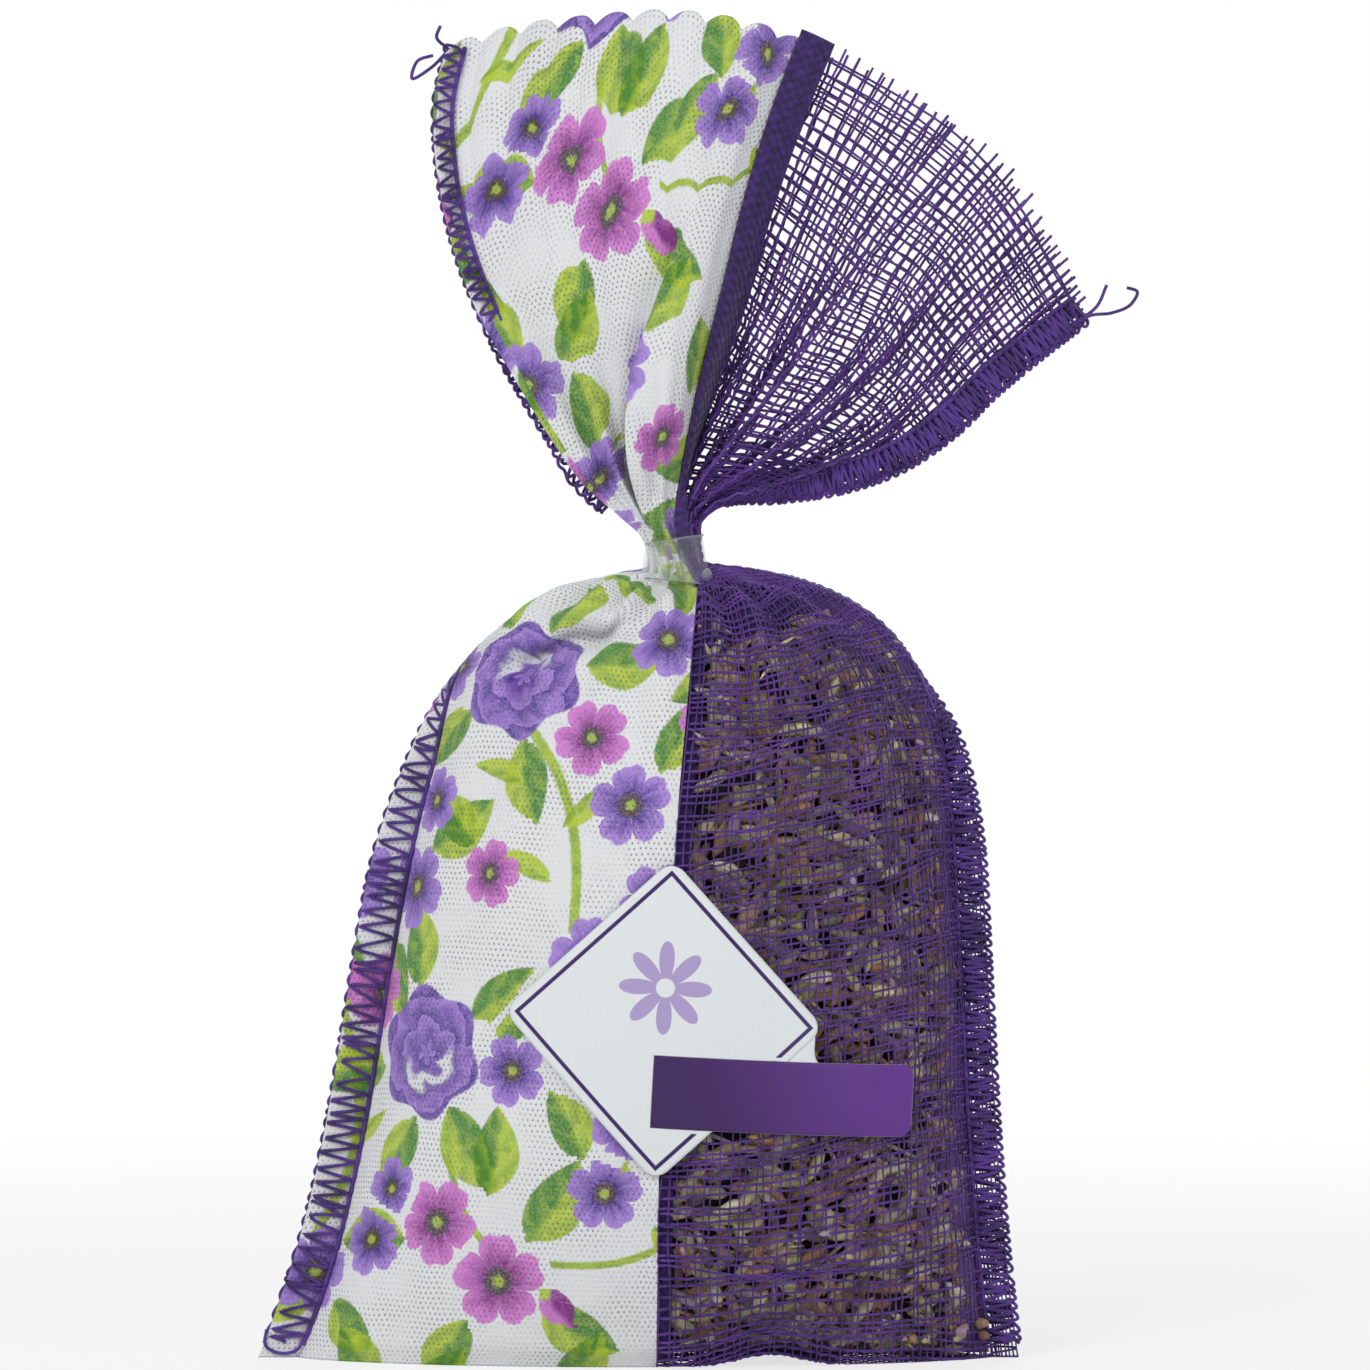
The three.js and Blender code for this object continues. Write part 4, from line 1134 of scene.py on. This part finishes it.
def rounded_grid(length, height, radius):
    """A rectangle's grid with rounded corners. In each corner the square of the radius's size is drawn
    into a quarter disc: x sqrt(1 - y^2/2), y sqrt(1 - x^2/2)."""

    def lines(size):
        inner = size / 2 - radius
        ends = np.linspace(inner, size / 2, 6)[1:]
        even = np.linspace(-inner, inner, round(2 * inner / LABEL_STEP))
        return np.concatenate([-ends[::-1], even, ends])

    x, y = np.meshgrid(lines(length), lines(height))
    over_x = np.maximum(np.abs(x) - (length / 2 - radius), 0) / radius
    over_y = np.maximum(np.abs(y) - (height / 2 - radius), 0) / radius
    x = np.sign(x) * (np.abs(x) + radius * over_x * (np.sqrt(1 - over_y ** 2 / 2) - 1))
    y = np.sign(y) * (np.abs(y) + radius * over_y * (np.sqrt(1 - over_x ** 2 / 2) - 1))
    return np.stack([x, y], -1)


def on_front(flat, lift):
    """Label places laid on the front of the bag, a little off its cloth."""
    x, z = np.moveaxis(turned(flat, LABEL_TURN) + LABEL_MIDDLE, -1, 0)
    low, high = read(left_side, z), read(right_side, z)
    across = (x - (low + high) / 2) / ((high - low) / 2)
    return np.stack([x, -bag_depth(across, z) - lift, z], -1)


def label_finish():
    """Satin paper, printed with a line along the diamond, a plain rosette, and the shaded banner."""
    paper = new_finish("label_paper")
    flat = paper.node("UVMap", {"uv_map": "flat"})
    x, z, _ = paper.split(flat)
    first = ((x + z) * math.sqrt(0.5)).math("ABSOLUTE")
    second = ((x - z) * math.sqrt(0.5)).math("ABSOLUTE")
    ring = (first.math("MAXIMUM", second) - (DIAMOND_SIDE / 2 - LINE_INSET)).math("ABSOLUTE")
    line = 1 - ring.between(LINE_WIDTH / 2 - PRINT_EDGE, LINE_WIDTH / 2 + PRINT_EDGE)
    banner_x = (x - float(BANNER_MIDDLE[0])).math("ABSOLUTE") - float(BANNER[0] / 2)
    banner_z = (z - float(BANNER_MIDDLE[1])).math("ABSOLUTE") - float(BANNER[1] / 2)
    outside = banner_x.math("MAXIMUM", banner_z)
    banner = 1 - outside.between(-PRINT_EDGE, PRINT_EDGE)
    rim = (1 - outside.between(0.3, 0.42)) * (1 - banner)
    grain = paper.noise(flat, 3, 3)
    white = paper.mix(grain, *LABEL_WHITES)
    purple = paper.mix((x + z * 0.3).between(-2, 26), *BANNER_PURPLES)
    turn, reach = polar(x, z - ROSETTE_RISE)
    petal = (turn * 4).math("COSINE").math("ABSOLUTE") * (PETAL_TIP - PETAL_ROOT) + PETAL_ROOT - reach
    rosette = petal.between(-0.08, 0.08) * reach.between(ROSETTE_EYE - 0.1, ROSETTE_EYE + 0.06)
    ground = paper.mix(rosette * 0.85, white, ROSETTE_LILAC)
    ground = paper.mix(line * (1 - rim), ground, LINE_PURPLE)
    colour = paper.mix(banner, ground, purple)
    return paper.wear(Base_Color=colour, Roughness=0.42, Specular_IOR_Level=0.2, Coat_Weight=0.15,
                      Normal=paper.bump(grain, 0.03, 0.4))


def corner_web():
    """The white corner between the diamond's right tip and the banner: even steps from the diamond's
    lower right edge out to a line that falls from the tip and flares on to the banner's top."""
    fall = np.linspace(0, 1, 12)[:, None]
    height = (BANNER_MIDDLE[1] + BANNER[1] / 2 + 0.5) * fall - WEB_TOP
    tip = DIAMOND_SIDE / math.sqrt(2)
    inner = tip + height - WEB_UNDER
    outer = tip - WEB_INSET + WEB_FLARE * fall ** 5
    share = np.linspace(0, 1, 10)
    return np.stack([inner + (outer - inner) * share, height + 0 * share], -1)


def thicken(piece, thickness):
    """Gives a sheet its thickness, behind its face."""
    layer = piece.modifiers.new("thickness", "SOLIDIFY")
    layer.thickness = thickness * MM
    layer.offset = -1


def build_label():
    diamond = turned(rounded_grid(DIAMOND_SIDE, DIAMOND_SIDE, DIAMOND_ROUND), math.pi / 4)
    banner = rounded_grid(*BANNER, BANNER_ROUND) + BANNER_MIDDLE
    groups = []
    for grid, rise in ((diamond, 0), (banner, BANNER_RISE), (corner_web()[::-1], -WEB_DROP)):
        laid = on_front(grid, LABEL_LIFT + rise).reshape(-1, 3)
        groups.append((laid, [grid_faces(*grid.shape[:2])], grid.reshape(-1, 2)))
    points, faces, flat = gather(groups)
    piece = make_piece("sticker", points, faces, label_finish(), flat=flat)
    thicken(piece, LABEL_PAPER)
    stand_in(piece, "paper_label", "label", "bag")


build_label()


# Neck: the bunched cloth inside the band, cotton on the left and gauze on the right, pressed into close
# pleats.
NECK_PLEATS = 13
NECK_PLEAT_DEPTH = 0.1  # of the radius


def bunch(low, high, radii, seam_at, name, node, body):
    """A closed pleated stalk about the neck's axis, cotton up to seam_at and gauze beyond: its radius
    runs evenly between two radii with a ripple round it, and both ends are drawn in to a point."""
    rows, columns = 40, 132
    share = np.linspace(0, 1, rows)[:, None]
    angle = np.linspace(0, 2 * math.pi, columns, endpoint=False)
    ripple = 1 + NECK_PLEAT_DEPTH * np.cos(NECK_PLEATS * angle + 1.5 * np.sin(angle) + 2 * share)
    radius = np.interp(share, (0, 1), radii) * ripple * np.sqrt(np.minimum(1, 12 * share * (1 - share)))
    height = low + (high - low) * share + 0 * angle
    grid = np.stack([NECK_X + radius * np.cos(angle), radius * np.sin(angle), height], -1)
    _, _, walls = ring_faces(rows, columns)
    flat = np.stack([angle * 3 + 0 * height, height + 16], -1)
    piece = make_piece(name, grid, [walls], cotton, flat=flat, **motif_frames(flat[..., 0], flat[..., 1]))
    piece.data.materials.append(folded_gauze)
    purple = grid[:-1, :, 0] > seam_at
    piece.data.polygons.foreach_set("material_index", purple.ravel().astype(np.int32))
    stand_in(piece, node, "cotton", body)


bunch(BAND_LOW - 0.6, BAND_HIGH + 0.3, (1.8, 1.6), 5.2, "neck_bunch", "neck_gather", "neck")


# Closure band: a clear plastic sleeve shrunk round the neck, with a rolled lip at both ends, a welded
# tab on its right and a bead of melted plastic below it.
BAND_BOTTOM, BAND_TOP = 3.7, 2.95  # outer radii
BAND_WALL = 0.32
BAND_LOW_TILT, BAND_HIGH_TILT = -0.12, 0.16  # rise of its lower and upper edge, left to right
LIP, LIP_WIDTH = 0.16, 0.035  # its height, and its width as a share of the band's
TAB_REACH, TAB_TURN = 0.9, -0.55  # how far it stands out, and its angle round the neck
BEAD_LENGTH, BEAD_WIDTH = 1.5, 1.2
# light grey of the film's haze and painted glare, and the painted shade of its rolled lips
CLEAR_HAZE_AND_GLARE, CLEAR_LIP_SHADE = (0.74, 0.78, 0.77, 1), (0.09, 0.1, 0.09, 1)


def clear_finish():
    """Clear plastic: nearly see-through face on, milky where it is seen edge-on, partly the film's haze
    and partly painted glare, and painted shade along its lips.
    """
    clear = new_finish("clear_plastic")
    facing = clear.node("LayerWeight", {}, {"Blend": 0.3}, out=1)
    streak = clear.noise(clear.node("TexCoord", out=3), 420)
    lip = clear.node("Attribute", {"attribute_name": "lip"}, out=2)
    # painted glare where the film is seen edge-on, and painted shade on its lips
    alpha = 0.08 + facing * 0.3 + streak.between(0.5, 0.75) * 0.07 + lip * 0.85
    colour = clear.mix(lip, CLEAR_HAZE_AND_GLARE, CLEAR_LIP_SHADE)
    return clear.wear(Base_Color=colour, Roughness=0.12, Alpha=alpha)


def build_band():
    rows, columns = 40, 96
    angle = np.linspace(0, 2 * math.pi, columns, endpoint=False)
    t = np.linspace(0, 1, rows)[:, None]
    lip = LIP * (np.exp(-(t / LIP_WIDTH) ** 2) + np.exp(-((1 - t) / LIP_WIDTH) ** 2))
    tab = TAB_REACH * np.exp(-(np.sin((angle - TAB_TURN) / 2) / 0.12) ** 2)
    outer = BAND_BOTTOM + (BAND_TOP - BAND_BOTTOM) * t + lip + tab * (1 - t)
    inner = BAND_BOTTOM + (BAND_TOP - BAND_BOTTOM) * t - BAND_WALL + 0 * angle
    shell = np.concatenate([outer, inner[::-1]])
    across = shell * np.cos(angle)
    up = np.concatenate([t, t[::-1]])
    height = up * (BAND_HIGH - BAND_LOW) + BAND_LOW
    height = height + across * (BAND_LOW_TILT + (BAND_HIGH_TILT - BAND_LOW_TILT) * up)
    grid = np.stack([NECK_X + across, shell * np.sin(angle), height], -1)
    i = np.arange(shell.size).reshape(shell.shape)
    ahead, turn = np.roll(i, -1, axis=0), np.roll(i, -1, axis=1)
    walls = np.stack([i, turn, np.roll(turn, -1, axis=0), ahead], -1).reshape(-1, 4)
    bead_middle = np.array([[NECK_X + BAND_BOTTOM - 0.3, -2.6, BAND_LOW + 0.7]])
    bead_size = np.array([BEAD_LENGTH]), np.array([BEAD_WIDTH])
    bead, bead_faces = spindles(bead_middle, np.array([[0.0, 0.2, 1]]), *bead_size, 9, 16, 0)
    faces = [walls] + [group + shell.size for group in bead_faces]
    # how much painted shade each point takes: all of it on the lips, a quarter on the bead
    edge = np.concatenate([lip, 0 * lip]) / LIP + 0 * angle
    edge = np.concatenate([edge.ravel(), np.full(bead.size // 3, 0.25)])
    piece = make_piece("clear_sleeve", np.concatenate([grid.reshape(-1, 3), bead.reshape(-1, 3)]), faces,
                       clear_finish(), lip=edge[:, None])
    stand_in(piece, "closure_band", "clear_band", "neck")


build_band()


# Cotton ruffle: the two cotton layers above the band. They leave it in close pleats, spread to the left,
# overlap in one long crease beside the middle seam, and end in a pinked edge.
LEFT_EDGE = [  # across and height, from inside the band outwards
    (0.55, 82.4), (0.75, 84.4), (0.2, 86.6), (-2.2, 89), (-5.8, 92.2), (-9.7, 97.6), (-13.1, 103.2),
    (-17.6, 111.3), (-20.2, 118.6), (-21.7, 126.4), (-21.9, 133), (-20.6, 139),
]
MIDDLE_EDGE = [  # likewise
    (5.7, 82.4), (5, 84.4), (4.1, 86.4), (3.6, 88.6), (4.2, 93.6), (5.2, 98.9), (6.3, 104.1),
    (8.4, 112.4), (11, 122.9), (13.6, 131.3), (16.7, 139.6),
]
CREASE = [  # shares of the way up and across
    (0, 0.43), (0.08, 0.46), (0.18, 0.56), (0.32, 0.57), (0.42, 0.68), (0.7, 0.83), (1, 0.9),
]
CREASE_DEPTH = 4.5  # how far the front layer dips beside the crease
CREASE_BULGE = 3  # how far that pushes out the back layer
RUFFLE_OPENING = 1.5
PINKING = 4.0  # from tooth to tooth
PINKING_DEPTH = 1.0
NOD = "neck", "ruffle", BAND_HIGH - 0.2, PIVOTS["ruffle_nod"][2] + 3.5  # neck and ruffle bodies and two heights above the band; stand_in leaves pieces given these on no body
LAYERS = {"front": FRONT, "back": BACK}
COTTON_LAYER = 0.3
COTTON_GRID = 197, 160  # points up and across
COTTON_FOLD, FAR_WAVE, ROOT_PLEAT = 2.6, 0.8, 0.9  # depths, of the last two at its far edge and root


def seam_depth(share, face):
    """How far the middle seam of one layer lies from the ruffle's middle plane."""
    return face * (0.5 + RUFFLE_OPENING * smooth(0.05, 0.4, share))


def fan(edge, bulge, across, share):
    """Places between an outer edge (across 0) and the middle seam (across 1), at shares of the way up.
    The far edge is pushed out by bulge, an across and height, at its middle."""
    outer = through(edge, share.ravel()).reshape(*share.shape, 2)
    middle = through(MIDDLE_EDGE, share.ravel()).reshape(*share.shape, 2)
    across = across[..., None]
    places = outer * (1 - across) + middle * across
    return places + np.array(bulge) * 4 * across * (1 - across) * share[..., None] ** 3


def overlapped(places, across, line, width, overlap):
    """Cloth doubled over itself along a line: it runs on under the strip beyond by overlap, comes back,
    and goes on in front. Gives the places, and a step from 0 to 1 across the line."""
    near = np.clip((across - line) / width, -9, 9)
    moved = places.copy()
    moved[..., 0] -= overlap * near * np.exp(0.5 - near ** 2 / 2)
    return moved, 1 / (1 + np.exp(-2.5 * near))


def root_depth(places, face, across, pleats):
    """Depth of the cloth where the band holds it: pleats within the band's circle."""
    radius = np.interp(places[..., 1], [BAND_LOW, BAND_HIGH], [3.3, 2.65])
    room = np.sqrt(np.maximum(radius ** 2 - (places[..., 0] - NECK_X) ** 2, 0.15))
    return face * room * (0.7 + 0.25 * np.sin(2 * math.pi * pleats * across))


def cotton_layer(face):
    """One cotton layer as a grid, and how deep each point lies in the crease, as a mask for painted
    shade. Its depth is a long fold across, waves at the far edge, pleats at the root, and on the front
    a dip before the crease, over which the cloth beyond laps. The dip pushes out the back layer."""
    rows, columns = COTTON_GRID
    across, share = np.meshgrid(np.linspace(0, 1, columns), np.linspace(0, 1, rows))
    tooth = np.abs(np.sin(math.pi * across * 38 / PINKING))
    reach = 1 - PINKING_DEPTH / 56 * (1 - tooth) ** 1.3
    places = fan(LEFT_EDGE, (0.4, 3.2), across, share * reach)
    free = smooth(0, 0.22, across)
    spread = smooth(0.06, 0.45, share)
    swing = np.sin(2 * math.pi * across - 0.4 * share) * (1 - smooth(0.93, 1, across))
    fold = COTTON_FOLD * spread * free * swing
    fold += FAR_WAVE * smooth(0.4, 1, share) * free * np.sin(5 * across * math.pi + 1) * (1 - across)
    pleat = smooth(0.02, 0.12, share) * (1 - smooth(0.18, 0.6, share))
    fold += ROOT_PLEAT * pleat * np.sin(2 * math.pi * 4.5 * across + 0.5) * np.sin(math.pi * across)
    line = np.polyval(np.polyfit(*np.array(CREASE).T, 5), share)
    deep = (1 - smooth(0.3, 0.78, share)) * smooth(0.05, 0.12, share)
    fade = (face == FRONT) * deep
    wide = smooth(0.1, 0.34, share)
    slot = 0.05 + 0.06 * smooth(0.25, 0.5, share)
    behind = np.exp(np.minimum(across - line, 0) / slot) * smooth(0.03, -0.01, across - line)
    crease = CREASE_DEPTH * (0.55 + 0.45 * wide) * fade * behind * smooth(0.03, 0.2, across)
    places, step = overlapped(places, across, line, 0.03, 1.3 * fade * smooth(-0.1, 0.35, share))
    lap = (step - 0.3) * smooth(0.05, 0.35, across) * (1 - smooth(0.9, 1, across))
    crease -= (0.5 + 1.9 * wide) * fade * lap
    bulge = np.exp(-((across - line + 0.01) / 0.16) ** 2)
    bulge = bulge * smooth(0, 0.2, across) * (1 - smooth(0.8, 1, across))
    crease += CREASE_BULGE * (face == BACK) * deep * bulge
    depth = fold + seam_depth(share, face) * smooth(0, 0.25, across)
    hold = smooth(0.07, 0.22, share)
    depth = depth * hold + (1 - hold) * root_depth(places, face, across, 3) + crease
    # painted shade deep in the crease of the front layer
    shade = fade * smooth(0.02, 0.4, behind) * (1 - smooth(0.22, 0.42, share))
    return np.stack([places[..., 0], depth, places[..., 1]], -1), shade


def build_cotton_ruffle():
    for layer, face in LAYERS.items():
        # shade is the crease's painted shade, carried to the finish by the fold attribute
        grid, shade = cotton_layer(face)
        across = along(grid[:, ::-1], 1)[:, ::-1]
        up = 104 + along(grid[:, -1])[:, None] + 0 * across
        if face == BACK:
            up = 260 - up
        piece = make_piece(
            f"printed_ruffle_{layer}", grid, [grid_faces(*grid.shape[:2], flip=face == BACK)], cotton,
            flat=np.stack([across, up], -1), fold=shade[..., None], **motif_frames(across, up),
        )
        thicken(piece, COTTON_LAYER)
        stand_in(piece, f"floral_ruffle_{layer}", "cotton", *NOD)


build_cotton_ruffle()


# Gauze ruffle: the two gauze layers above the band, fanned to the right in long folds. Their far edge is
# raw, and the ends of the warp stand out past the last weft.
RIGHT_EDGE = [  # across and height, from inside the band outwards
    (6.75, 82.4), (6.5, 84.4), (6.2, 86.8), (6.4, 88.6), (8.4, 90.1), (14.6, 90.7), (20.9, 91.6),
    (27.2, 93.7), (33.4, 97.8), (37.6, 101.9), (42.8, 106.2), (47.4, 109.7),
]
GAUZE_GRID = 160, 130  # points up and across
GAUZE_FOLD, GAUZE_CREASE, GAUZE_LUMPS, TUCK_STEP = 2.3, 2, 0.5, 1.4  # depths
RUFFLE_WARPS, RUFFLE_WEFTS = 38, 52
GAUZE_TUCKS = [(0.24, 0.8, 1.3), (0.47, 1, 1.6), (0.66, 0.6, 1.2)]  # share across, share up, overlap
FRAY = 0.03  # share of the length that the warp stands out past the weft
GAUZE_RUFFLE_THREAD = 0.33


def gauze_layer(face):
    """One gauze layer as a grid. Its depth is long folds across, creases near the root, lumps at the far
    edge, and a step at each tuck, over which the cloth beyond laps."""
    rows, columns = GAUZE_GRID
    across, share = np.meshgrid(np.linspace(0, 1, columns), np.linspace(0, 1 + FRAY, rows))
    places = fan(RIGHT_EDGE, (3.6, 3.2), across, share)
    free = smooth(0, 0.2, across) * (1 - smooth(0.92, 1, across))
    spread = smooth(0.08, 0.45, share)
    swing = 3 * math.pi * across + 0.5 * np.sin(2.5 * share) + 0.4 * face
    fold = GAUZE_FOLD * spread * free * np.sin(swing)
    crease = np.abs(np.sin(2 * math.pi * 2.5 * across + 0.8 + 0.5 * face)) ** 0.7 - 0.5
    fold += GAUZE_CREASE * smooth(0.03, 0.14, share) * (1 - smooth(0.3, 0.85, share)) * free * crease
    fold += GAUZE_LUMPS * smooth(0.5, 1, share) * free * lumps(across * 7 + 3 * face, share * 5, 51)
    for line, reach, overlap in GAUZE_TUCKS:
        fade = (1 - smooth(0.5 * reach, reach, share)) * smooth(0.1, 0.25, share)
        place = line + 0.03 * np.sin(5 * share) + 0.07 * (face == BACK)
        places, step = overlapped(places, across, place, 0.055, overlap * fade)
        fold += TUCK_STEP * fade * (step - 0.5) * free
    depth = fold + seam_depth(np.minimum(share, 1), face) * smooth(0, 0.3, across)
    hold = smooth(0.07, 0.22, share)
    depth = depth * hold + (1 - hold) * root_depth(places, face, across, 3)
    return np.stack([places[..., 0], depth, places[..., 1]], -1)


def build_gauze_ruffle():
    for layer, face in LAYERS.items():
        chart = gauze_layer(face)
        normals = grid_normals(chart) * face
        warp, weft = np.indices((RUFFLE_WARPS, RUFFLE_WEFTS))
        draw = np.random.default_rng(52 + face)
        u = ((warp + 0.5 + 0.4 * lumps(warp * 1.7 + 5 * face, weft / 8, 53)) / RUFFLE_WARPS) ** 1.25
        v = (weft + 0.5 + 0.4 * lumps(warp / 8, weft * 1.7 + 5 * face, 54)) / RUFFLE_WEFTS
        v = v * 0.995 / (1 + FRAY)
        ends = v[:, -1:] + draw.uniform(0.25, 1, (RUFFLE_WARPS, 1)) * FRAY / (1 + FRAY)
        threads = GAUZE_RUFFLE_THREAD, GAUZE_RUFFLE_THREAD
        points, faces, flat = woven(chart, normals, u, v, *threads, ends)
        piece = make_piece(f"gauze_ruffle_{layer}_net", points, faces, gauze, flat=flat)
        stand_in(piece, f"gauze_ruffle_{layer}", "gauze", *NOD)


build_gauze_ruffle()


# Foot of the ruffle: the same bunched cloth where it comes out of the band, hidden between the layers
# that spread from it.
bunch(BAND_HIGH - 0.6, BAND_HIGH + 6.5, (1.4, 0.9), 4, "ruffle_bunch", "ruffle_gather", "ruffle")


# Middle seams of the ruffle: on each layer the allowance is turned to the gauze side, and shows as a dark
# band along the cotton, darkened in its finish by painted shade.
RUFFLE_SEAM_WIDTH = 3.6
SEAM_STAND, SEAM_LAYER = 0.25, 0.3  # off the gauze, and its thickness


def build_ruffle_seams():
    for layer, face in LAYERS.items():
        chart = gauze_layer(face)
        normals = grid_normals(chart) * face
        width = np.linalg.norm(np.diff(chart, axis=1), axis=-1).sum(1)
        rows, columns = 200, 13
        v = np.linspace(0, 0.985, rows)[:, None] + np.zeros(columns)
        reach = np.minimum(RUFFLE_SEAM_WIDTH / np.interp(v, np.linspace(0, 1, len(width)), width), 0.4)
        u = 1 - reach * np.linspace(0, 1, columns)
        grid = at(chart, u, v) + SEAM_STAND * unit(at(normals, u, v))
        flat = np.stack([np.linspace(0, RUFFLE_SEAM_WIDTH, columns) + 0 * v, v * 58], -1)
        faces = [grid_faces(rows, columns, flip=face == FRONT)]
        piece = make_piece(f"{layer}_seam_allowance", grid, faces, folded_gauze, flat=flat)
        thicken(piece, SEAM_LAYER)
        stand_in(piece, f"{layer}_ruffle_seam", "thread", *NOD)


build_ruffle_seams()


# Overlocked edges of the ruffle: the side seams go on above the band, with loose thread ends at the far
# corners. The right one is packed with turned-in gauze, and the left one turns behind near the band.
RUFFLE_HEM = {LEFT: 2.1, RIGHT: 3.1}
PACKED_ROWS = {LEFT: (), RIGHT: (0.1, 0.24, 0.38, 0.52)}  # of turned-in gauze, at shares of the hem
RUFFLE_EDGES = {
    # hand, line, node, pitch of the stitches, radius of the loops, share of the line where it starts
    "left_ruffle_thread": (LEFT, LEFT_EDGE, "left_ruffle_overlock", 1.2, 0.14, 0.15),
    "right_ruffle_thread": (RIGHT, RIGHT_EDGE, "right_ruffle_overlock", 0.75, 0.3, 0.17),
}
THREAD_ENDS = {
    LEFT: [
        [(-20.4, 0, 138.4), (-22.2, -0.6, 136.5), (-24.2, -0.4, 135.4), (-23.6, -0.2, 137.3),
         (-22, 0, 137.9)],
        [(-20.4, 0, 138.6), (-21.6, -0.3, 139.8), (-21.2, -0.2, 141)],
    ],
    RIGHT: [
        [(45.6, -0.4, 109.2), (47.6, -0.6, 110.3), (49.9, -0.4, 110.6), (52, -0.2, 111.6),
         (52.6, 0, 112.9), (51.5, 0, 113.3)],
        [(46, 0, 109.6), (48.4, 0.4, 111.4), (49.4, 0.3, 113.6)],
    ],
}


def build_ruffle_overlocks():
    for name, (hand, edge, node, pitch, loop, first) in RUFFLE_EDGES.items():
        shares = np.linspace(first, 1, 240)
        line = through(edge, shares)
        turned_back = (hand == LEFT) * smooth(0.56, 0.42, shares)
        peep = turned_back * (0.45 + 0.45 * smooth(0.3, 0.22, shares))
        slope = unit(np.gradient(line, axis=0))
        inward = np.stack([-hand * slope[:, 1], 0 * slope[:, 0], hand * slope[:, 0]], -1)
        edge_points = np.stack([line[:, 0], 2 * turned_back, line[:, 1]], -1)
        edge_points -= inward * peep[:, None]
        width = np.full(len(line), RUFFLE_HEM[hand])
        seam = edge_points + inward * width[:, None]
        back = np.tile(np.array([0, 1.0, 0]), (len(line), 1))
        groups = overlock(seam, -inward, back, width, pitch, loop, 61 + hand, PACKED_ROWS[hand])
        groups += [tail(points) for points in THREAD_ENDS[hand]]
        points, faces, flat = gather(groups)
        piece = make_piece(name, points, faces, overlock_thread, flat=flat)
        stand_in(piece, node, "thread", *NOD)


build_ruffle_overlocks()
